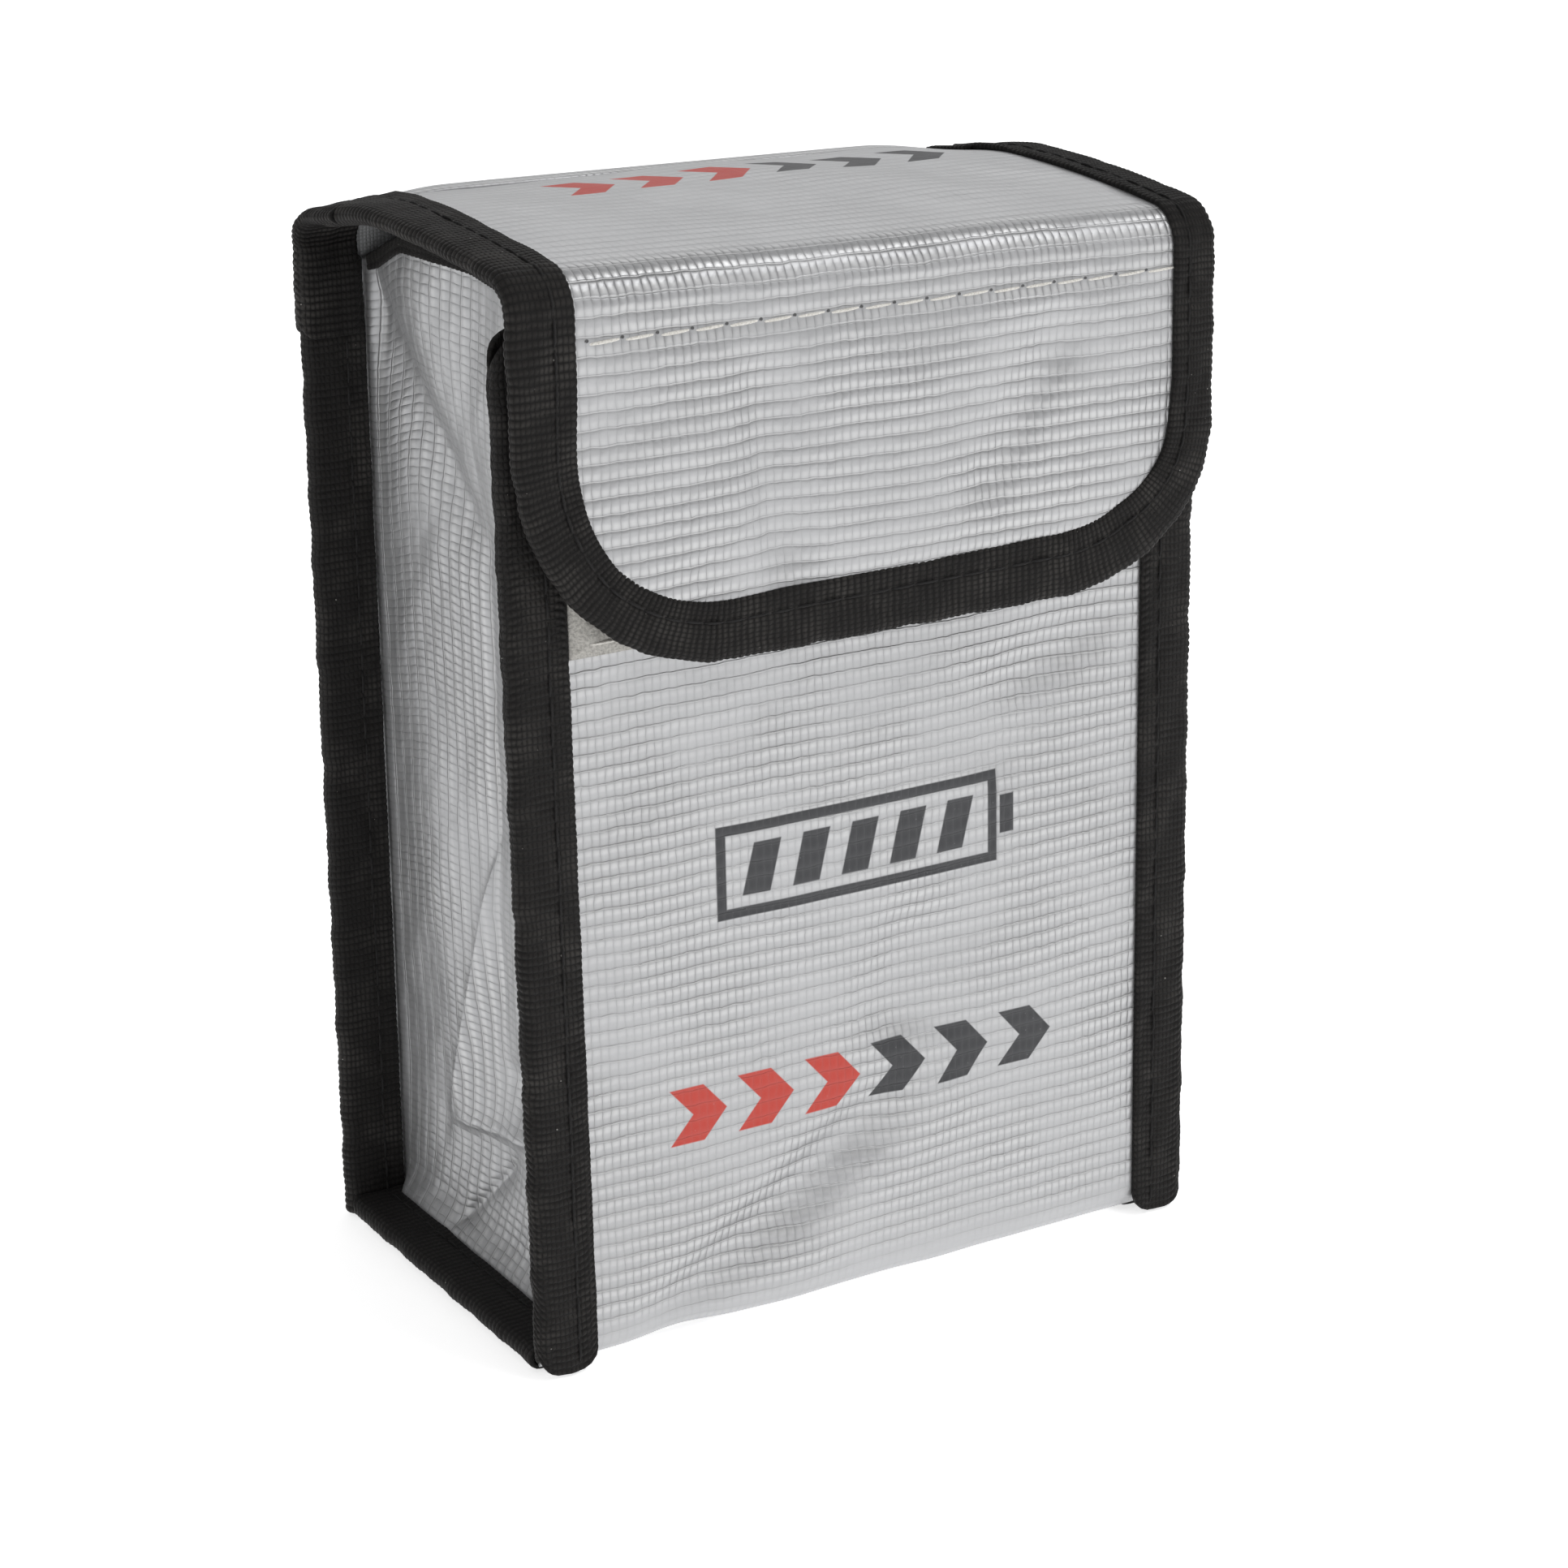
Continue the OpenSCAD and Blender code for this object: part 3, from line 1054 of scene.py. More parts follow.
@dataclass
class FoldedTape:
    """Ribbed tape folded over an edge: a thin U in section, with a round nose and pressed inner edges.

    Attributes:
        route: Takes the distance along the edge, the distance inwards from it and the height off the
            seam's middle, and gives the point.
        length: Length of the tape.
        half: Half thickness at the outer face, or a function of the distance along.
        width: Width on the outer face, or a function of the distance along.
        back_width: Width on the inner face.
        start_round: Radius of the corners at the start.
        end_round: Radius of the corners at the end.
        rib: Distance between two ribs.
        rib_height: Height of a rib.
        seed: Picks the tape's own small waves.
    """

    route: Route
    length: float
    half: float | Callable[[Array], Array] = 1.2
    width: float | Callable[[Array], Array] = 7.0
    back_width: float | None = None
    start_round: float = 0.0
    end_round: float = 0.0
    rib: float = 0.8
    rib_height: float = 0.16
    thick: float = 0.42
    seed: int = 1
    samples: int = 5

    def section(self) -> tuple[Array, Array, Array]:
        """The outer U in section, from one inner edge round the nose to the other.

        Returns:
            The share of the width inwards, the height from -1 to 1, and how much of a rib shows.
        """
        flat = np.array([1.0, 0.985, 0.94, 0.85, 0.72, 0.66, 0.6, 0.5, 0.38, 0.27])
        press = np.array([0.80, 0.93, 1.0, 1.01, 0.99, 0.93, 1.0, 1.03, 1.02, 1.0])
        angle = np.linspace(0, math.pi, 9)
        nose = 0.17 * (1 - np.sin(angle))
        share = np.concatenate([flat, nose, flat[::-1]])
        height = np.concatenate([press, np.cos(angle) * 0.99, -press[::-1]])
        ribbed = np.concatenate([np.linspace(0.3, 1.0, 3), np.ones(len(share) - 6), np.linspace(1.0, 0.3, 3)])
        return share, height, ribbed

    def build(self, dress: Dress) -> bpy.types.Object:
        """Builds the tape: the section is carried along the edge, and ribs swell and pinch it.

        A rib is the square root of a sine's size; it sags a little towards the tape's middle.

        Args:
            dress: The piece's name, finish and body.
        Returns:
            The tape.
        """
        share, height, ribbed = self.section()
        rows = max(24, int(self.length / self.rib * self.samples))
        s = np.linspace(0.0, self.length, rows)[:, None]
        wide = (self.width(s) if callable(self.width) else self.width) * np.ones_like(s)
        rear = wide if self.back_width is None else np.full_like(s, self.back_width)
        half = (self.half(s) if callable(self.half) else self.half) * np.ones_like(s)
        reach = np.where(height > 0, wide, rear)
        a = share * reach
        sag = 0.22 * (1 - ((a / reach - 0.5) * 2) ** 2)
        own = wander(s, self.seed, 9.0)
        phase = (s + sag + 0.12 * own) * math.pi / self.rib
        rib = np.sqrt(np.abs(np.sin(phase)) + 0.02) * ribbed
        wave = 0.10 * wander(s + 3 * a, self.seed + 7, 14.0)
        b = height * (half + self.rib_height * (rib - 0.75)) + wave * np.sign(height) * (share > 0.2)
        outwards = np.where(share > 0.93, 1, np.where(share < 0.1, -1, 0))
        a = a + 0.14 * own * (share < 0.2) + 0.16 * (rib - 0.6) * outwards
        low, high = self.rounded_ends(share)
        s_outer = low + (s / self.length) * (self.length - low - high)
        outer = self.route(s_outer, a, b)
        inner_a = np.maximum(a, 0.0) + self.thick * (share < 0.2)
        inner_b = height * np.maximum(half - self.thick, 0.25)
        inner = self.route(s_outer, inner_a, inner_b)
        ring = np.concatenate([outer, inner[:, ::-1]], 1)
        count = len(share)
        run = np.concatenate([[0.0], np.cumsum(np.abs(np.diff(share * 7.0)) + np.abs(np.diff(height)) * 0.6)])
        across = np.concatenate([run, run[::-1]])
        out_and_back = list(range(count)) + list(range(count))[::-1]
        uv = np.stack(np.broadcast_arrays(across[None, :], s_outer[:, out_and_back]), -1)
        faces = [grid_faces(rows, 2 * count, ring=True)]
        i = np.arange(count - 1)
        cap = np.stack([i, i + 1, 2 * count - 2 - i, 2 * count - 1 - i], -1)
        faces += [cap[:, ::-1], cap + (rows - 1) * 2 * count]
        points = ring.reshape(-1, 3)
        quads = np.concatenate(faces)
        if volume(points, quads) < 0:
            quads = quads[:, ::-1]
        return fix(make_mesh(dress, points, quads, uv.reshape(-1, 2)), dress)

    def rounded_ends(self, share: Array) -> tuple[Array, Array]:
        """How far each end is cut back across the width: round corners, by the circle's own formula.

        Args:
            share: Shares of the width.
        Returns:
            The cut at the start and at the end.
        """
        across = np.clip(np.minimum(share, 1 - share) * 7.0, 0.0, None)

        def cut(radius: float) -> Array:
            """Distance from the end's line to a corner circle."""
            near = np.clip(radius - across, 0.0, radius)
            return radius - np.sqrt(np.maximum(radius**2 - near**2, 0.0)) if radius else np.zeros_like(across)

        return cut(self.start_round)[None, :], cut(self.end_round)[None, :]


@dataclass(frozen=True)
class Stitches:
    """A row of lock stitches: each is a thread that rises out of the cloth and dips back in.

    Attributes:
        route: Takes the distance along the row, a sideways offset and a height, and gives the point.
        length: Length of the row.
        pitch: Distance from one needle hole to the next.
        radius: Radius of the thread.
        rise: Height of a stitch over the cloth.
        slant: Sideways slant of each stitch.
        sides: Sides of the thread.
        steps: Sections along one stitch.
        seed: Picks the stitches' small differences.
    """

    route: Route
    length: float
    pitch: float
    radius: float
    rise: float
    slant: float = 0.0
    sides: int = 6
    steps: int = 6
    seed: int = 3

    def build(self, dress: Dress) -> bpy.types.Object:
        """Builds every stitch: a round section carried along a half wave of the row.

        Args:
            dress: The piece's name, finish and body.
        Returns:
            The stitches, as one piece.
        """
        count = max(1, int(self.length / self.pitch))
        random = np.random.default_rng(self.seed)
        uneven = random.uniform(-1.0, 1.0, (3, count))[:, :, None, None]
        first = (self.length - count * self.pitch) / 2
        index = np.arange(count)[:, None, None]
        t = np.linspace(0.0, 1.0, self.steps)[None, :, None]
        turn = np.linspace(0.0, 2 * math.pi, self.sides, endpoint=False)[None, None, :]
        s = first + (index + 0.02 + 0.96 * t + 0.015 * uneven[0]) * self.pitch
        arch = np.sin(math.pi * t) ** 0.5 if self.steps > 4 else np.sin(math.pi * t)
        slim = self.radius * (0.45 + 0.55 * np.sin(math.pi * t) ** 0.4)
        side = self.slant * (t - 0.5) + 0.05 * uneven[1]
        a = side + slim * np.cos(turn) + 0 * s
        b = self.rise * (arch * (1 + 0.15 * uneven[2]) - 0.35) + slim * np.sin(turn) + 0 * s
        s = s + 0 * turn
        points = self.route(s, a, b).reshape(-1, 3)
        one = grid_faces(self.steps, self.sides, ring=True)
        block = self.steps * self.sides
        half = self.sides // 2
        k = np.arange(half - 1)
        fan = np.stack([k, k + 1, self.sides - 2 - k, self.sides - 1 - k], -1)
        one = np.concatenate([one, fan[:, ::-1], fan + block - self.sides])
        faces = (one[None] + (np.arange(count) * block)[:, None, None]).reshape(-1, 4)
        if volume(points, faces) < 0:
            faces = faces[:, ::-1]
        uv = np.stack([s, a], -1).reshape(-1, 2)
        return fix(make_mesh(dress, points, faces, uv), dress)


# ---------------------------------------------------------------- the sub-assemblies


@dataclass
class Tapes:
    """The tapes of the standing seams: two at the front, two at the back and two along the base."""

    finishes: Finishes
    front_top: float = 113.6
    back_low: float = 0.15
    stitch_share: float = 0.66

    def standing(self, side: int, y: float, face: int, low: float) -> Route:
        """Route of an upright tape: along Z, inwards along X, its outer face to the front or back."""
        return lambda s, a, b: np.stack(
            np.broadcast_arrays(side * (PLACES.edge - a), y + face * b, low + s), -1
        )

    def lying(self, side: int, start: float) -> Route:
        """Route of a base tape: along Y, inwards along X, its outer face down."""
        return lambda s, a, b: np.stack(
            np.broadcast_arrays(side * (PLACES.edge - a), start + s, PLACES.base_seam - b), -1
        )

    def stitch_rows(self, name: str, route: Route, length: float, half: float, body: Body) -> None:
        """Sews one tape: a row of black stitches on each of its faces.

        Args:
            name: Start of the pieces' names.
            route: The tape's route.
            length: Length of the row.
            half: Half thickness of the seam with its tape.
            body: What the stitches ride on.
        """
        for face, word in ((1, "outer"), (-1, "inner")):
            row = Stitches(
                route=lambda s, a, b, f=face: route(s, a + 7.0 * self.stitch_share, f * (half - 0.06 + b)),
                length=length, pitch=2.7, radius=0.15, rise=0.16, sides=6, steps=5, seed=len(name),
            )
            row.build(Dress(f"{name}_stitches_{word}", self.finishes.black_thread, "binding_tape", body))

    def build(self) -> None:
        """Builds the six tapes and their stitching."""
        f = self.finishes
        base_start = PLACES.front_seam + PLACES.seam_half + 0.05
        base_end = PLACES.back_seam - PLACES.seam_half + 0.15
        for side, word in ((-1, "left"), (1, "right")):
            route = self.standing(side, PLACES.front_seam, -1, 0.0)
            FoldedTape(
                route, self.front_top, half=PLACES.seam_half, start_round=2.6, end_round=3.2, seed=2 + side
            ).build(Dress(
                f"front_tape_{word}", f.tape, "binding_tape", Body.FRONT, (f"front_binding_{word}",)
            ))
            self.stitch_rows(f"front_tape_{word}", route, 110.0, PLACES.seam_half, Body.FRONT)
            route = self.standing(side, PLACES.back_seam, 1, self.back_low)
            FoldedTape(
                route, PLACES.mouth - self.back_low + 0.5, half=PLACES.seam_half, rib_height=0.12,
                end_round=1.0, seed=12 + side,
            ).build(Dress(f"back_tape_{word}", f.tape, "binding_tape", Body.ROOT, (f"back_binding_{word}",)))
            self.stitch_rows(f"back_tape_{word}", route, 104.0, PLACES.seam_half, Body.ROOT)
            route = self.lying(side, base_start)
            FoldedTape(
                route, base_end - base_start, half=PLACES.seam_half, rib_height=0.06, end_round=0.8,
                seed=22 + side,
            ).build(Dress(
                f"base_tape_{word}", f.flat_tape, "binding_tape", Body.SQUASH, (f"base_binding_{word}",)
            ))
            self.stitch_rows(
                f"base_tape_{word}", route, base_end - base_start - 1.0, PLACES.seam_half, Body.SQUASH
            )


@dataclass
class FrontWall:
    """The front wall: silver cloth with the prints, its lining, the mouth's tape and the loop tape."""

    finishes: Finishes
    folds: tuple[Fold, ...] = (
        Fold((5.0, 45.0), (2.0, 30.0), -0.95, 6.5, 4.5),
        Fold((3.0, 24.0), (-28.0, 2.0), -1.40, 4.8, 3.2),
        Fold((12.0, 24.0), (-14.0, 5.0), 0.85, 6.0, 5.0),
        Fold((36.0, 76.0), (14.0, 67.0), -0.65, 3.5, 3.5),
        Fold((20.0, 40.0), (28.0, 12.0), 0.42, 6.0, 8.0),
        Fold((-26.0, 62.0), (-30.0, 30.0), 0.40, 5.0, 6.0),
        Fold((22.0, 74.0), (16.0, 58.0), -0.45, 6.0, 6.0),
    )

    def relief(self, x: Array, z: Array) -> Array:
        """How far the wall stands out: a flat pillow, a soft roll over the foot, and the folds."""
        inside = np.clip(1 - (x / PLACES.seam) ** 2, 0.0, 1.0)
        pillow = 0.75 * inside * smooth(2.0, 34.0, z) * smooth(92.0, 62.0, z)
        foot = 0.35 * inside**0.5 * smooth(0.0, 6.0, z) * smooth(26.0, 7.0, z)
        folds = sum(f.raise_at(x, z) for f in self.folds)
        ripple = 0.10 * wander(x + 0.4 * z, 5, 31.0) * smooth(88.0, 70.0, z)
        return pillow + foot + (folds + ripple) * smooth(0.0, 0.3, inside)

    def cloth(self, half: float, inset: float) -> tuple[Array, Array]:
        """A grid on the wall: across by x, and along its profile from under the base to the mouth."""
        x = np.linspace(-half, half, 150)[None, :]
        start = 1.9 * smooth(PLACES.seam - 1.5, PLACES.seam + 0.3, np.abs(x))
        q = start + (FRONT.length - start) * np.linspace(0.0, 1.0, 190)[:, None]
        z = FRONT.lift(x, q)[..., 2]
        points = FRONT.lift(x, q, self.relief(x + 0 * q, z) - inset)
        height = q - (FRONT.length - PLACES.mouth)
        return points, np.stack(np.broadcast_arrays(x, height + 0 * x), -1)

    def build(self) -> None:
        """Builds the wall and what is sewn to it."""
        f = self.finishes
        cloth, liner = 0.5, 0.4
        length = FRONT.length
        points, uv = self.cloth(PLACES.cut, 0.0)
        make_sheet(
            Dress("front_cloth", f.front, "silver_cloth", Body.FRONT, ("front_panel",)),
            points, uv, (0, -1, 0), cloth, (2 * PLACES.cut, length),
        )
        points, uv = self.cloth(PLACES.seam - 1.2, cloth + 0.03)
        make_sheet(
            Dress("front_lining", f.lining, "lining_cloth", Body.FRONT, ("front_liner",)),
            points[22::2, ::2], uv[22::2, ::2], (0, -1, 0), liner, (2 * PLACES.seam - 2.4, length),
        )
        self.mouth_tape()
        self.loop_tape()

    def mouth_tape(self) -> None:
        """Builds the tape over the wall's upper edge."""
        low, high = box_mm("mouth_tape_front")
        middle, half = (low[1] + high[1]) / 2, (high[1] - low[1]) / 2
        route: Route = lambda s, a, b: np.stack(np.broadcast_arrays(low[0] + s, middle - b, high[2] - a), -1)
        FoldedTape(route, high[0] - low[0], half=half, width=high[2] - low[2], seed=41).build(
            Dress(
                "mouth_edge_tape_front", self.finishes.tape, "binding_tape", Body.FRONT, ("mouth_tape_front",)
            )
        )

    def loop_tape(self) -> None:
        """Builds the loop tape: a slab with a lumpy pile and rounded edges, and its white stitches."""
        low, high = box_mm("loop_strip")
        x = np.linspace(low[0], high[0], 201)[None, :]
        z = np.linspace(low[2], high[2], 71)[:, None]
        edge = np.minimum(np.minimum(x - low[0], high[0] - x), np.minimum(z - low[2], high[2] - z))
        random = np.random.default_rng(8)
        pile = random.uniform(-0.10, 0.10, edge.shape) + 0.06 * wander(x * 2 + z, 4, 5.0)
        thick = (high[1] - low[1]) * (0.35 + 0.6 * smooth(0.0, 1.4, edge)) + pile * smooth(0.0, 0.6, edge)
        top = np.stack(np.broadcast_arrays(x, high[1] - np.minimum(thick, high[1] - low[1] + 0.12), z), -1)
        flat = np.stack(np.broadcast_arrays(x, high[1] - 0.02 + 0 * edge, z), -1)
        dress = Dress("loop_tape_pile", self.finishes.loop, "loop_tape", Body.FRONT, ("loop_strip",))
        slab(dress, top, flat)
        for number, place in enumerate((low[2] + 1.5, high[2] - 1.5)):
            row = Stitches(
                route=lambda s, a, b, h=place: np.stack(
                    np.broadcast_arrays(low[0] + 1.0 + s, low[1] + 0.12 - b, h + a), -1
                ),
                length=high[0] - low[0] - 2.0, pitch=3.9, radius=0.16, rise=0.2, slant=0.1, seed=50 + number,
            )
            stands_for = ("loop_stitching",) if number == 0 else ()
            row.build(Dress(
                f"loop_stitches_{number + 1}", self.finishes.thread, "white_thread", Body.FRONT, stands_for
            ))


def slab(dress: Dress, top: Array, bottom: Array) -> bpy.types.Object:
    """Makes a closed slab from two grids of the same size, joined round their edges.

    Args:
        dress: The piece's name, finish and body.
        top: Grid of points on the shown face.
        bottom: Grid of points on the sewn face.
    Returns:
        The slab.
    """
    rows, cols = top.shape[:2]
    block = rows * cols
    index = np.arange(block).reshape(rows, cols)
    rim = np.concatenate([index[0], index[1:, -1], index[-1, -2::-1], index[-2:0:-1, 0]])
    after = np.roll(rim, -1)
    faces = grid_faces(rows, cols)
    sides = np.stack([rim, after, after + block, rim + block], -1)
    quads = np.concatenate([faces[:, ::-1], faces + block, sides])
    points = np.concatenate([top.reshape(-1, 3), bottom.reshape(-1, 3)])
    if volume(points, quads) < 0:
        quads = quads[:, ::-1]
    return fix(make_mesh(dress, points, quads, points[:, [0, 2]]), dress)


@dataclass
class BackAndBase:
    """The back wall, which turns over the top as the lid's rear, and the base, each with its lining."""

    finishes: Finishes

    def back(self) -> None:
        """Builds the back wall up and over its fold to the join on the lid, and its lining to the mouth."""
        f = self.finishes
        q = np.linspace(0.0, LID_JOIN, 200)[:, None]
        x = np.linspace(-PLACES.cut, PLACES.cut, 130)[None, :]
        z = TOP.lift(x, q)[..., 2]
        inside = np.clip(1 - (x / PLACES.seam) ** 2, 0.0, 1.0)
        pillow = 0.7 * inside * smooth(4.0, 40.0, z) * smooth(108.0, 80.0, z)
        ripple = 0.25 * wander(x * 0.7 + z * 0.5, 21, 36.0) * smooth(0.0, 0.5, inside)
        relief = pillow + ripple * smooth(116.0, 100.0, z)
        fold = Fold((-32.0, TOP.at_depth(20.6)), (33.0, TOP.at_depth(20.0)), 0.15, 2.0, 3.0)
        ridge = fold.raise_at(x + 0 * q, q + 0 * x)
        points = TOP.lift(x, q, relief + ridge)
        uv = np.stack(np.broadcast_arrays(x, q), -1)
        make_sheet(
            Dress("back_cloth", f.back, "silver_cloth", Body.BACK_FOLD, ("back_panel",)),
            points, uv, (0, 1, 0.2), 0.5, (2 * PLACES.cut, LID_JOIN),
        )
        low, high = box_mm("back_liner")
        ends = (TOP.at_height(low[2] + 0.1, last=False), TOP.at_height(high[2], last=False))
        q = np.linspace(*ends, 110)[:, None]
        x = np.linspace(low[0], high[0], 90)[None, :]
        z = TOP.lift(x, q)[..., 2]
        inside = np.clip(1 - (x / PLACES.seam) ** 2, 0.0, 1.0)
        inner = 0.7 * inside * smooth(4.0, 40.0, z) * smooth(108.0, 80.0, z) - 0.55
        make_sheet(
            Dress("back_lining", f.lining, "lining_cloth", Body.ROOT, ("back_liner",)),
            TOP.lift(x, q, inner - 0.02), np.stack(np.broadcast_arrays(x, q), -1), (0, 1, 0), 0.4,
            (high[0] - low[0], high[2] - low[2]),
        )

    def base(self) -> None:
        """Builds the base, which is flat and lifts into the side seams, and its lining."""
        f = self.finishes
        low, high = box_mm("base_panel")
        y = np.linspace(low[1], PLACES.back - ROUNDS.base + 0.1, 70)[:, None]
        x = np.linspace(-PLACES.cut, PLACES.cut, 130)[None, :]
        seam = smooth(PLACES.seam - 3.0, PLACES.seam + 0.5, np.abs(x))
        level = smooth(low[1], low[1] + 3.0, y) * smooth(high[1], high[1] - 3.0, y)
        bottom = 0.02 + (0.55 * seam + 0.08 * (1 + wander(x + 0.6 * y, 9, 23.0)) * (1 - seam)) * level
        points = np.stack(np.broadcast_arrays(x, y, bottom), -1)
        uv = np.stack(np.broadcast_arrays(x, y), -1)
        make_sheet(
            Dress("base_cloth", f.plain, "silver_cloth", Body.SQUASH, ("base_panel",)),
            points, uv, (0, 0, -1), 0.5, (2 * PLACES.cut, high[1] - low[1]),
        )
        low, high = box_mm("base_liner")
        y = np.linspace(low[1] + 0.3, high[1], 50)[:, None]
        x = np.linspace(low[0], high[0], 90)[None, :]
        up = 0.62 + 0.08 * (1 + wander(x + 0.6 * y, 9, 23.0)) + 0 * y
        make_sheet(
            Dress("base_lining", f.lining, "lining_cloth", Body.SQUASH, ("base_liner",)),
            np.stack(np.broadcast_arrays(x, y, up + 0.42), -1), np.stack(np.broadcast_arrays(x, y), -1),
            (0, 0, 1), 0.4, (high[0] - low[0], high[1] - low[1]),
        )


@dataclass
class Gussets:
    """The two creased side walls, their linings and the tape over their upper edges.

    Attributes:
        wall: Half width at the walls.
        front: Middle of the front flange.
        back: Middle of the back flange.
        crease: How far the crease stands inwards.
    """

    finishes: Finishes
    wall: float = 34.7
    front: float = -20.28
    back: float = 23.38
    crease: float = 2.7
    crease_y: float = 2.2
    low: float = 1.9
    folds: tuple[Fold, ...] = (
        Fold((24.5, 111.0), (3.0, 84.0), -1.25, 4.4, 2.6),
        Fold((16.0, 113.0), (-4.0, 92.0), 0.9, 6.0, 8.0),
        Fold((2.0, 88.0), (2.0, 30.0), -0.5, 1.6, 3.4, True),
        Fold((2.2, 50.0), (12.5, 14.5), 1.45, 1.1, 5.5, True),
        Fold((12.0, 15.2), (-7.5, 18.4), 1.35, 1.0, 4.0, True),
        Fold((0.5, 26.0), (-4.5, 17.0), -1.0, 2.2, 1.6),
        Fold((0.5, 14.5), (13.0, -1.0), -1.0, 1.4, 3.0, True),
        Fold((14.0, 60.0), (12.0, 24.0), 0.35, 4.0, 4.0),
        Fold((-10.0, 80.0), (-9.0, 34.0), 0.35, 5.0, 5.0),
    )

    def inward(self, y: Array, z: Array, side: int) -> Array:
        """How far the wall stands in: a soft V crease over the height, and the folds near its ends.

        Args:
            y: Depths.
            z: Heights.
            side: -1 for the left wall, 1 for the right.
        Returns:
            Distances inwards.
        """
        gap = np.abs(y - self.crease_y)
        span = np.where(y < self.crease_y, self.crease_y - self.front, self.back - self.crease_y)
        round_off = np.sqrt(gap**2 + 1.2**2) - 1.2
        valley = np.clip(1 - round_off / (span - 0.5), 0.0, 1.0)
        ends = smooth(self.front + 1.5, self.front + 5.0, y) * smooth(self.back, self.back - 2.5, y)
        shape = sum(f.raise_at(y, z) for f in self.folds) if side < 0 else self.quiet(y, z)
        foot = -1.7 * (1 - smooth(self.low, self.low + 5.5, z)) ** 2
        lively = smooth(self.low, self.low + 3.0, z) * ends
        fine = 0.10 * wander(z * 0.6 + y, 61 + side, 17.0)
        crease = self.crease * valley * smooth(self.low, self.low + 14.0, z) * ends
        return crease + (fine - shape) * lively + foot * ends

    def quiet(self, y: Array, z: Array) -> Array:
        """Folds of the right wall, which are softer: one long slanted fold and a tuck at the foot."""
        folds = (
            Fold((22.0, 108.0), (2.0, 78.0), -0.8, 5.0, 4.0),
            Fold((2.0, 40.0), (13.0, 12.0), 0.9, 2.0, 5.0, True),
            Fold((1.0, 16.0), (-10.0, 1.0), -0.7, 2.0, 3.0, True),
        )
        return sum(f.raise_at(y, z) for f in folds)

    def mouth(self, y: Array) -> Array:
        """Height of the wall's upper edge: it rises a little between the seams, under the lid."""
        return PLACES.mouth + 3.4 * smooth(self.front, -10.0, y) * smooth(self.back, 14.0, y)

    def surface(self, s: Array, drop: Array, side: int, out: Array | float) -> Array:
        """Points on a gusset: along its plan by s, down from its mouth, and outwards.

        The plan has a flange at each end, in the seam, and the wall between them.

        Args:
            s: Distances from the front corner of the wall; below 0 and past its end lie the flanges.
            drop: Distances down from the mouth.
            side: -1 for the left wall, 1 for the right.
            out: Heights above the outer face.
        Returns:
            The points.
        """
        s, drop, out = np.broadcast_arrays(s, drop, out)
        length = self.back - self.front
        y = self.front + np.clip(s, 0.0, length)
        flange = np.clip(-s, 0.0, None) + np.clip(s - length, 0.0, None)
        top = self.mouth(y)
        z = top - drop * (top - self.low) / (PLACES.mouth - self.low)
        x = self.wall - self.inward(y, z, side) + flange + out * (flange == 0)
        return np.stack([side * x, y + out * (flange > 0) * np.sign(s), z], -1)

    def build(self) -> None:
        """Builds both gussets."""
        f = self.finishes
        length = self.back - self.front
        tall = PLACES.mouth - self.low
        flange = PLACES.cut - self.wall - 0.4
        for side, word in ((-1, "left"), (1, "right")):
            s = np.concatenate([
                np.linspace(-flange, -0.2, 8), np.linspace(0.0, length, 140),
                length + np.linspace(0.2, flange, 8),
            ])[None, :]
            drop = np.linspace(0.0, tall, 220)[:, None]
            points = self.surface(s, drop, side, 0.0)
            uv = np.stack(np.broadcast_arrays(-drop, s), -1)
            make_sheet(
                Dress(f"gusset_cloth_{word}", f.gusset, "silver_cloth", Body.SQUASH, (f"gusset_{word}",)),
                points, uv, (side, 0, 0), 0.42, (length + 2 * flange, tall),
            )
            s = np.linspace(1.6, length - 1.2, 60)[None, :]
            drop = np.linspace(1.2, tall - 0.4, 90)[:, None]
            make_sheet(
                Dress(
                    f"gusset_lining_{word}", f.lining, "lining_cloth", Body.SQUASH, (f"gusset_liner_{word}",)
                ),
                self.surface(s, drop, side, -0.5), np.stack(np.broadcast_arrays(-drop, s), -1),
                (side, 0, 0), 0.35, (length - 2.8, tall - 1.6),
            )
            self.mouth_tape(side, word, length)

    def mouth_tape(self, side: int, word: str, length: float) -> None:
        """Builds the narrow tape over a gusset's upper edge; it reaches further down inside."""
        start = 0.9
        route: Route = lambda s, a, b: self.surface(s + start, a - 0.5, side, b - 0.43)
        FoldedTape(
            route, length - 2 * start - 0.4, half=0.95, width=2.0, back_width=5.8, rib_height=0.1,
            seed=71 + side,
        ).build(Dress(
            f"mouth_edge_tape_{word}", self.finishes.flat_tape, "binding_tape", Body.SQUASH,
            (f"mouth_tape_{word}",),
        ))


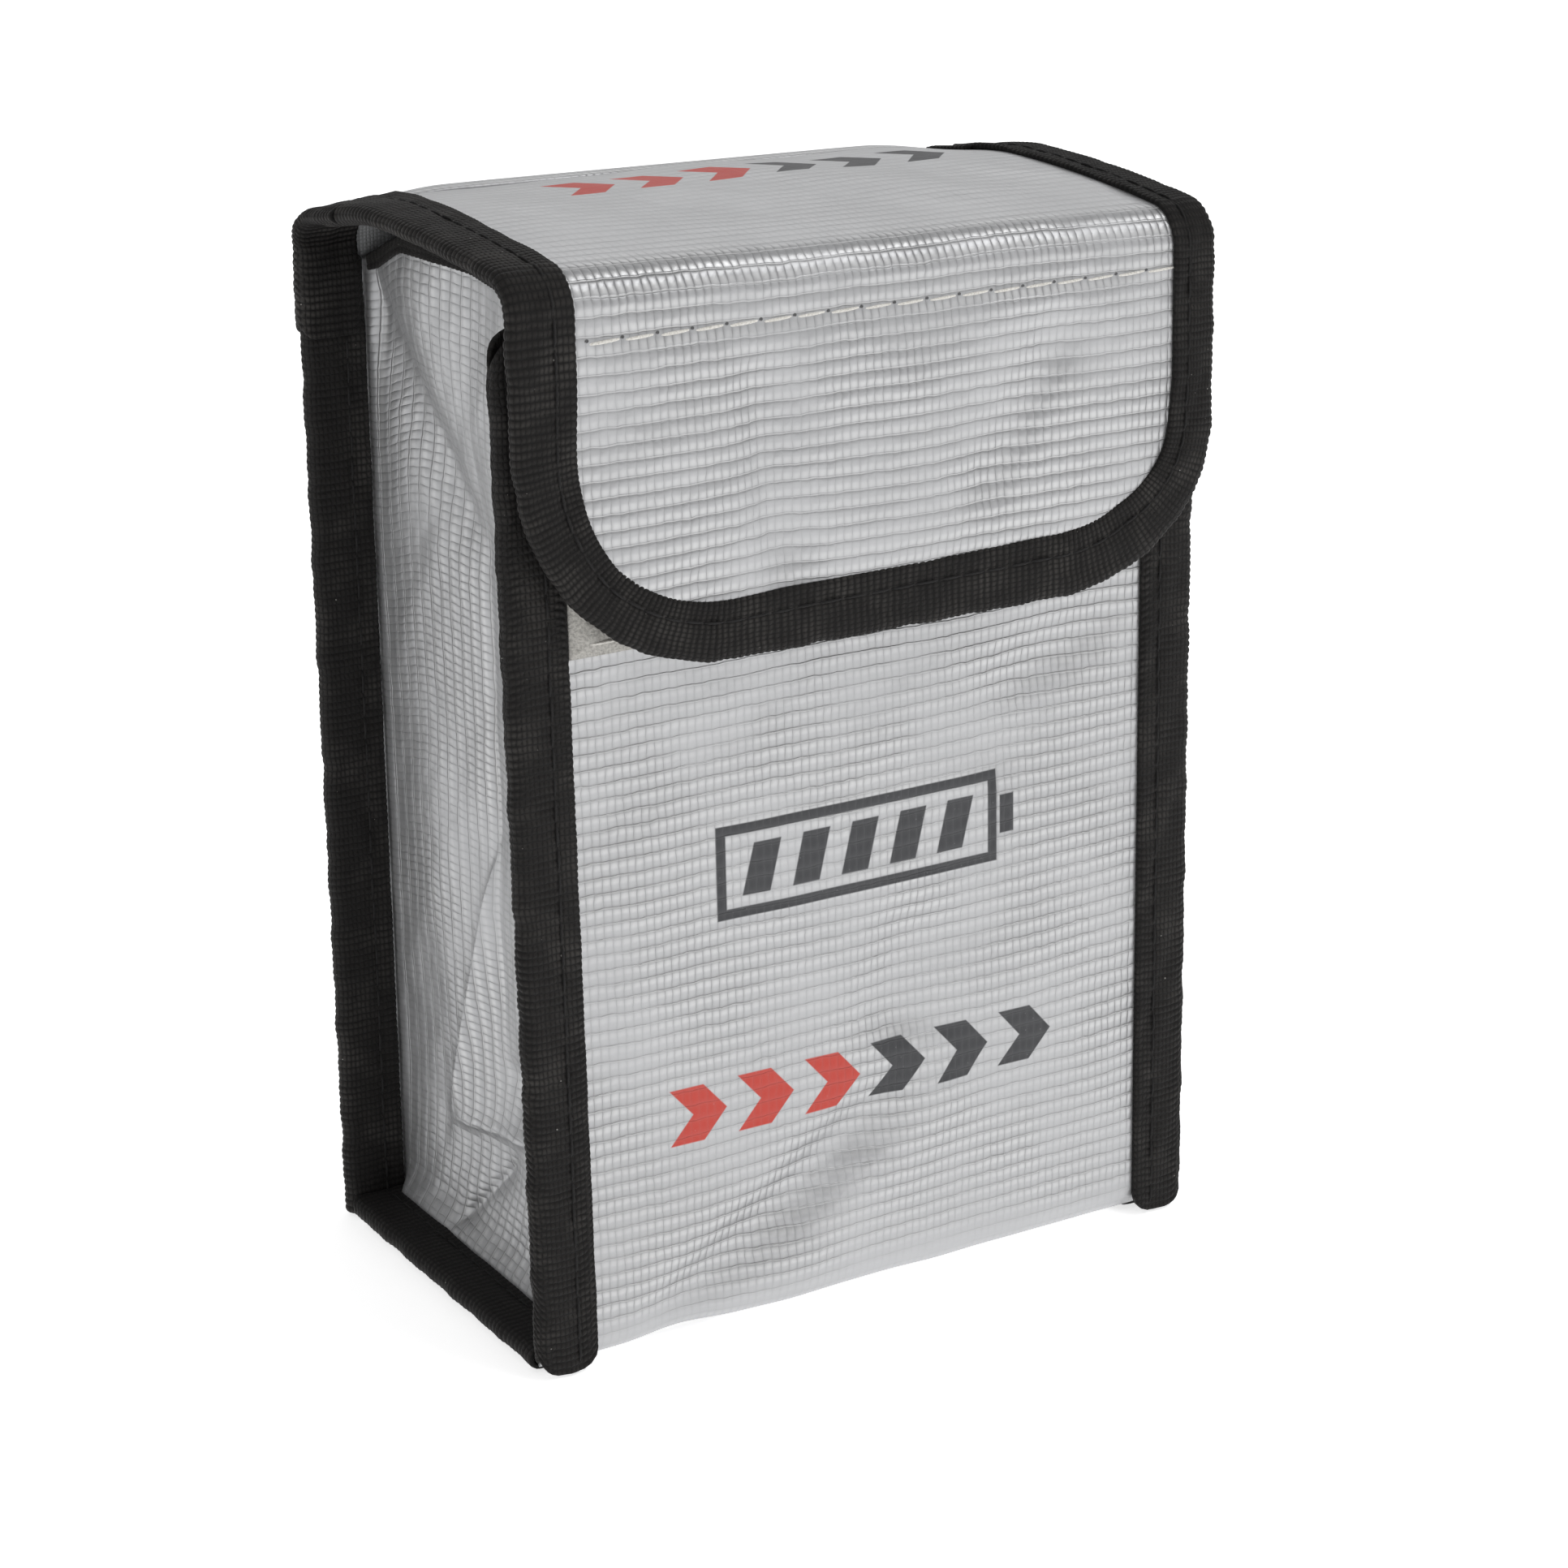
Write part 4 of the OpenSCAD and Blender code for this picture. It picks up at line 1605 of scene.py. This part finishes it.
@dataclass
class LidAndFlap:
    """The lid and the flap: one length of silver cloth and lining, bound with tape on three sides.

    Attributes:
        left: The flap's left corner: its radius across and its radius up.
        right: The same for the right corner.
        power: How square the corners are; 2 is an ellipse.
        stitch_z: Height of the white stitching.
        stitch_pitch: Distance between two of its needle holes.
    """

    finishes: Finishes
    left: tuple[float, float] = (24.5, 25.0)
    right: tuple[float, float] = (20.5, 17.0)
    power: float = 2.05
    flap_left: float = -41.6
    flap_right: float = 42.0
    folds: tuple[Fold, ...] = (
        Fold((-15.0, 110.0), (-11.0, 83.0), -0.95, 3.4, 2.6),
        Fold((4.0, 108.0), (6.0, 84.0), 0.60, 5.0, 6.0),
        Fold((23.0, 109.0), (12.0, 90.0), -0.80, 3.0, 4.0),
        Fold((-24.0, 104.0), (-20.0, 90.0), 0.40, 5.0, 5.0),
    )

    def outline(self, count: int) -> Array:
        """The flap's outer edge in cloth coordinates [x, q]: down the left, round under, up the right.

        A corner is a superellipse: its two shares, each to the same power, add up to one.

        Args:
            count: Number of points at even distances.
        Returns:
            The points, from the lid's left edge to its right edge.
        """
        bottom = TOP.at_height(PLACES.flap_low)
        turn = np.linspace(0.0, math.pi / 2, 200)
        bend = 2 / self.power
        cos, sin = np.cos(turn) ** bend, np.sin(turn) ** bend
        left_x, left_q = self.flap_left + self.left[0], bottom - self.left[1]
        right_x, right_q = self.flap_right - self.right[0], bottom - self.right[1]
        down = np.stack([
            np.linspace(-PLACES.edge, self.flap_left, 200), np.linspace(LID_JOIN, left_q, 200)
        ], -1)
        up = np.stack([
            np.full(200, self.flap_right), np.linspace(right_q, LID_JOIN, 200)
        ], -1)
        points = np.concatenate([
            down,
            np.stack([left_x - self.left[0] * cos, left_q + self.left[1] * sin], -1)[1:],
            np.stack([right_x + self.right[0] * cos, right_q + self.right[1] * sin], -1)[::-1],
            up[1:],
        ])
        along = np.concatenate([[0.0], np.cumsum(np.linalg.norm(np.diff(points, axis=0), axis=1))])
        even = np.linspace(0.0, along[-1], count)
        return np.stack([np.interp(even, along, points[:, k]) for k in (0, 1)], -1)

    def sides(self, q: Array, margin: float) -> tuple[Array, Array]:
        """Left and right end of the cloth at a distance along the strip, inside the tape by a margin."""
        bottom = TOP.at_height(PLACES.flap_low) - margin
        ends = []
        for (across, up), edge, sign in ((self.left, self.flap_left, 1), (self.right, self.flap_right, -1)):
            rx, rq = across - margin, up - margin
            share = np.clip((q - (bottom - rq)) / rq, 0.0, 1.0)
            reach = rx * (1 - share**self.power) ** (1 / self.power)
            ends.append(edge + sign * (across - reach))
        return ends[0], ends[1]

    def relief(self, x: Array, q: Array) -> Array:
        """How far the cloth stands out: faint hills on the lid, and the folds on the flap."""
        z = TOP.lift(x, q)[..., 2]
        y = TOP.lift(x, q)[..., 1]
        on_lid = smooth(-16.0, -8.0, y)
        hills = 0.32 * wander(0.8 * x + 0.5 * y, 31, 47.0) * on_lid
        inside = smooth(PLACES.seam + 1.0, PLACES.seam - 8.0, np.abs(x))
        on_flap = ((y < -20.0) * smooth(115.5, 109.0, z)
                   * smooth(PLACES.flap_low + 2.0, PLACES.flap_low + 12.0, z))
        folds = (0.6 + sum(f.raise_at(x, z) for f in self.folds)) * on_flap
        sunk = -0.16 * np.exp(-(((z - self.stitch_z) / 0.7) ** 2)) * (y < -20.0)
        return (hills + folds + sunk) * inside

    @property
    def stitch_z(self) -> float:
        """Height of the white stitching, as the CAD has it."""
        low, high = box_mm("flap_stitching")
        return float((low[2] + high[2]) / 2)

    def cloth(self) -> None:
        """Builds the silver cloth and the lining, from the join on the lid to the flap's lower edge."""
        f = self.finishes
        end = TOP.at_height(PLACES.flap_low)
        for name, slot, material, margin, inset, thick, node in (
            ("lid_and_flap_cloth", "silver_cloth", f.lid, 0.7, 0.0, 0.5, ("lid_panel", "flap_panel")),
            ("lid_and_flap_lining", "lining_cloth", f.lining, 0.9, 0.52, 0.38, ("lid_liner", "flap_liner")),
        ):
            fine = 2 if inset == 0.0 else 1
            q = np.linspace(LID_JOIN, end - margin, 130 * fine)[:, None]
            left, right = self.sides(q, margin)
            x = left + (right - left) * np.linspace(0.0, 1.0, 70 * fine)[None, :]
            points = TOP.lift(x, q + 0 * x, self.relief(x, q + 0 * x) - inset)
            uv = np.stack(np.broadcast_arrays(x, q), -1)
            make_sheet(
                Dress(name, material, slot, Body.FRONT_FOLD, node), points, uv, (0, -1, 1), thick,
                (2 * PLACES.cut, end - LID_JOIN),
            )
        self.rear_lining()

    def rear_lining(self) -> None:
        """Builds the lining under the rear of the lid, from the back wall's fold to the join."""
        start = TOP.at_height(PLACES.mouth, last=False) - 0.6
        q = np.linspace(start, LID_JOIN, 50)[:, None]
        x = np.linspace(-PLACES.cut, PLACES.cut, 110)[None, :]
        make_sheet(
            Dress("rear_lid_lining", self.finishes.lining, "lining_cloth", Body.BACK_FOLD),
            TOP.lift(x, q, -0.52), np.stack(np.broadcast_arrays(x, q), -1), (0, 0, 1), 0.38,
            (2 * PLACES.cut, LID_JOIN - start),
        )

    def tape(self) -> None:
        """Builds the long tape round the lid and flap, wider on the left than on the right."""
        line = self.outline(2400)
        along = np.concatenate([[0.0], np.cumsum(np.linalg.norm(np.diff(line, axis=0), axis=1))])
        tangent = np.gradient(line, along, axis=0)
        kernel = np.ones(61) / 61
        padded = np.pad(tangent, ((30, 30), (0, 0)), mode="edge")
        tangent = np.stack([np.convolve(padded[:, k], kernel, mode="valid") for k in (0, 1)], -1)
        tangent /= np.linalg.norm(tangent, axis=1)[:, None]
        length = float(along[-1])
        middle = -0.45

        def route(s: Array, a: Array, b: Array) -> Array:
            """A point beside the flap's edge: inwards from it in the cloth, and off the cloth."""
            s, a, b = np.broadcast_arrays(s, a, b)
            x, q = (np.interp(s, along, line[:, k]) for k in (0, 1))
            tx, tq = (np.interp(s, along, tangent[:, k]) for k in (0, 1))
            return TOP.lift(x + a * tq, q - a * tx, middle + b)

        stops = np.array([0.0, 0.11, 0.22, 0.33, 0.44, 0.55, 0.64, 0.74, 1.0]) * length
        widths = np.array([9.4, 7.5, 7.2, 6.0, 6.8, 7.2, 7.6, 5.4, 5.6])
        FoldedTape(
            route, length, half=lambda s: 1.0 + 0.18 * smooth(14.0, 2.0, np.minimum(s, length - s)),
            width=lambda s: np.interp(s, stops, widths), seed=81, rib_height=0.15, samples=5,
        ).build(Dress("flap_edge_tape", self.finishes.tape, "binding_tape", Body.FRONT_FOLD, ("flap_tape",)))
        for face, word in ((1, "outer"), (-1, "inner")):
            Stitches(
                route=lambda s, a, b, k=face: route(
                    s, a + 0.66 * np.interp(s, stops, widths), k * (0.94 + b)
                ),
                length=length - 4.0, pitch=2.9, radius=0.15, rise=0.16, sides=6, steps=5, seed=83,
            ).build(Dress(
                f"flap_tape_stitches_{word}", self.finishes.black_thread, "binding_tape", Body.FRONT_FOLD
            ))

    def rear_tapes(self) -> None:
        """Builds the two short tapes that turn over the back corners and end on the back seams' tape."""
        tail = TOP.at_height(PLACES.mouth - 8.0, last=False)
        top = LID_JOIN + 4.0
        lap = PLACES.back - PLACES.back_seam
        for side, word in ((-1, "left"), (1, "right")):

            def route(s: Array, a: Array, b: Array, sign: int = side) -> Array:
                """A point beside the lid's edge at the back; it sinks to the middle of the back seam."""
                q = top - s
                on_back = smooth(LID_JOIN - 6.0, tail + 7.0, q)
                sunk = -0.45 + (0.45 - lap) * on_back
                s, a, b, q, sunk = np.broadcast_arrays(s, a, b, q, sunk)
                return TOP.lift(sign * (PLACES.edge + 0.35 - a), q, sunk + b)

            length = top - tail
            FoldedTape(
                route, length, half=lambda s: 0.92 + 0.75 * smooth(length * 0.35, length * 0.75, s),
                width=lambda s, wide=9.4 if side < 0 else 7.0: 6.8 + (wide - 6.8) * smooth(14.0, 2.0, s),
                rib_height=0.13, end_round=1.4, seed=90 + side,
            ).build(Dress(
                f"rear_lid_tape_{word}", self.finishes.tape, "binding_tape", Body.BACK_FOLD,
                (f"lid_tape_{word}",),
            ))

    def stitching(self, pitch: float) -> None:
        """Builds the white row across the top of the flap: slightly slanted, uneven stitches."""
        z = TOP.at_height(self.stitch_z)
        Stitches(
            route=lambda s, a, b: TOP.lift(s - 8.5 * pitch, z - a, b - 0.04),
            length=18 * pitch + 0.01, pitch=pitch, radius=0.17, rise=0.20, slant=0.20, sides=8,
            steps=11, seed=17,
        ).build(Dress("flap_stitches", self.finishes.thread, "white_thread", Body.FLAP, ("flap_stitching",)))

    def hook_tape(self) -> None:
        """Builds the hook tape: a thin woven slab, and rows of small bent hooks."""
        low, high = box_mm("hook_strip")
        x = np.linspace(low[0], high[0], 113)[None, :]
        z = np.linspace(low[2], high[2], 33)[:, None]
        edge = np.minimum(np.minimum(x - low[0], high[0] - x), np.minimum(z - low[2], high[2] - z))
        face = low[1] + 0.12 + 0.24 * smooth(0.0, 0.5, edge)
        top = np.stack(np.broadcast_arrays(x, face, z), -1)
        sewn = np.stack(np.broadcast_arrays(x, low[1] + 0.04 + 0 * edge, z), -1)
        slab(Dress("hook_tape_base", self.finishes.hook, "hook_tape", Body.FLAP, ("hook_strip",)), top, sewn)
        step = 1.5
        gx, gz = np.meshgrid(
            np.arange(low[0] + 1.6, high[0] - 1.2, step), np.arange(low[2] + 1.2, high[2] - 0.8, step)
        )
        place = np.stack([gx.ravel(), gz.ravel()], -1)[:, None, None, :]
        bend = np.linspace(0.0, 1.0, 5)[None, :, None]
        turn = np.linspace(0.0, 2 * math.pi, 4, endpoint=False)[None, None, :]
        thin, tall, curl, root = 0.085, 0.42, 2.2, 0.32
        rise = tall * np.sin(bend * curl)
        reach = tall * (1 - np.cos(bend * curl)) * 0.6
        hx = place[..., 0] + thin * np.cos(turn) + 0 * bend
        hz = place[..., 1] + reach + thin * np.sin(turn) * np.cos(bend * curl)
        hy = low[1] + root + rise + thin * np.sin(turn) * np.sin(bend * curl) * 0.7 + 0 * place[..., 0]
        points = np.stack(np.broadcast_arrays(hx, hy, hz), -1).reshape(-1, 3)
        one = np.concatenate([grid_faces(5, 4, ring=True), [[3, 2, 1, 0]], [[16, 17, 18, 19]]])
        faces = (one[None] + (np.arange(len(place)) * 20)[:, None, None]).reshape(-1, 4)
        if volume(points, faces) < 0:
            faces = faces[:, ::-1]
        dress = Dress("hooks", self.finishes.hook, "hook_tape", Body.FLAP)
        fix(make_mesh(dress, points, faces, points[:, [0, 2]]), dress)

    def build(self, pitch: float) -> None:
        """Builds the lid and the flap with all that is sewn to them."""
        self.cloth()
        self.tape()
        self.rear_tapes()
        self.stitching(pitch)
        self.hook_tape()


# ---------------------------------------------------------------- floor, light and camera


@dataclass(frozen=True)
class Studio:
    """A pale floor, soft light and the camera.

    Attributes:
        azimuth: Where the camera stands, from the front; negative is to the bag's left.
        elevation: Its height above the horizon.
        roll: Its turn about its own axis.
        distance: Its distance from the bag's middle.
        lens: Its focal length in millimetres, on a 36 mm sensor.
        aim: Height of the bag's middle.
        shift: How far the camera is moved right and up from its aim.
    """

    azimuth: float = -31.6
    elevation: float = 21.03
    roll: float = 0.70
    distance: float = 447.8
    lens: float = 93.6
    aim: float = 57.5
    shift: tuple[float, float] = (2.23, -4.36)

    def axes(self) -> tuple[Vector, Vector, Vector]:
        """The camera's right, up and back directions.

        Returns:
            Three unit vectors.
        """
        a, e, r = (math.radians(v) for v in (self.azimuth, self.elevation, self.roll))
        back = Vector((math.sin(a) * math.cos(e), -math.cos(a) * math.cos(e), math.sin(e)))
        right = (-back).cross(Vector((0, 0, 1))).normalized()
        up = right.cross(-back)
        return right * math.cos(r) + up * math.sin(r), up * math.cos(r) - right * math.sin(r), back

    def camera(self) -> None:
        """Places the camera."""
        right, up, back = self.axes()
        data = bpy.data.cameras.new("camera")
        data.lens = self.lens
        data.sensor_width = 36.0
        data.clip_start = 0.01
        camera = bpy.data.objects.new("camera", data)
        place = Vector((0, 0, self.aim)) + back * self.distance + right * self.shift[0] + up * self.shift[1]
        camera.location = place * MM
        turn = [[v[k] for v in (right, up, back)] for k in range(3)]
        camera.rotation_mode = "QUATERNION"
        camera.rotation_quaternion = Matrix(turn).to_quaternion()
        bpy.context.scene.collection.objects.link(camera)
        bpy.context.scene.camera = camera

    def lamp(
        self, name: str, azimuth: float, elevation: float, distance: float, size: tuple[float, float],
        power: float,
    ) -> None:
        """Hangs one soft light that looks at the bag.

        Args:
            name: The light's name.
            azimuth: Where it hangs, from the front.
            elevation: Its height above the horizon.
            distance: Its distance in metres.
            size: Its width and height in metres.
            power: Its power in watts.
        """
        a, e = math.radians(azimuth), math.radians(elevation)
        back = Vector((math.sin(a) * math.cos(e), -math.cos(a) * math.cos(e), math.sin(e)))
        data = bpy.data.lights.new(name, "AREA")
        data.shape = "RECTANGLE"
        data.size, data.size_y = size
        data.energy = power
        light = bpy.data.objects.new(name, data)
        light.location = Vector((0, 0, self.aim * MM)) + back * distance
        light.rotation_mode = "QUATERNION"
        light.rotation_quaternion = back.to_track_quat("Z", "Y")
        light.visible_camera = False
        bpy.context.scene.collection.objects.link(light)

    def floor(self) -> None:
        """Lays the floor: one large pale square."""
        g = Graph("floor")
        material = g.finish(
            Base_Color=(0.9, 0.9, 0.9), Roughness=0.9, Specular_IOR_Level=0.1,
            Emission_Color=(1.0, 1.0, 1.0), Emission_Strength=0.68,
        )
        half = 6.0
        mesh = bpy.data.meshes.new("floor")
        corners = [(-half, -half, 0), (half, -half, 0), (half, half, 0), (-half, half, 0)]
        mesh.from_pydata(corners, [], [(0, 1, 2, 3)])
        mesh.materials.append(material)
        floor = bpy.data.objects.new("floor", mesh)
        floor.location = (0, 0, -0.0004)
        bpy.context.scene.collection.objects.link(floor)

    def build(self) -> None:
        """Builds the studio."""
        self.camera()
        self.floor()
        world = bpy.data.worlds.new("room")
        world.use_nodes = True
        sky = world.node_tree.nodes["Background"]
        sky.inputs[0].default_value = (1.0, 1.0, 1.0, 1.0)
        sky.inputs[1].default_value = 0.36
        bpy.context.scene.world = world
        self.lamp("top", 50.0, 56.0, 1.1, (0.75, 0.42), 3.4)
        self.lamp("left", -82.0, 34.0, 1.2, (0.6, 0.7), 1.5)
        self.lamp("right", 38.0, 22.0, 1.3, (0.8, 0.7), 1.2)
        self.lamp("behind", 148.0, 26.0, 1.3, (1.1, 0.6), 1.9)
        bpy.context.scene.view_settings.view_transform = "Standard"


def main() -> None:
    """Builds the studio and every sub-assembly, in order."""
    logging.basicConfig(level=logging.INFO, format="%(name)s %(message)s")
    Studio().build()
    pitch = 3.9
    low, high = box_mm("flap_stitching")
    finishes = Finishes.make(pitch, TOP.at_height(float((low[2] + high[2]) / 2)) - 0.2)
    Tapes(finishes).build()
    FrontWall(finishes).build()
    walls = BackAndBase(finishes)
    walls.back()
    walls.base()
    Gussets(finishes).build()
    LidAndFlap(finishes).build(pitch)


if __name__ == "__main__":
    main()
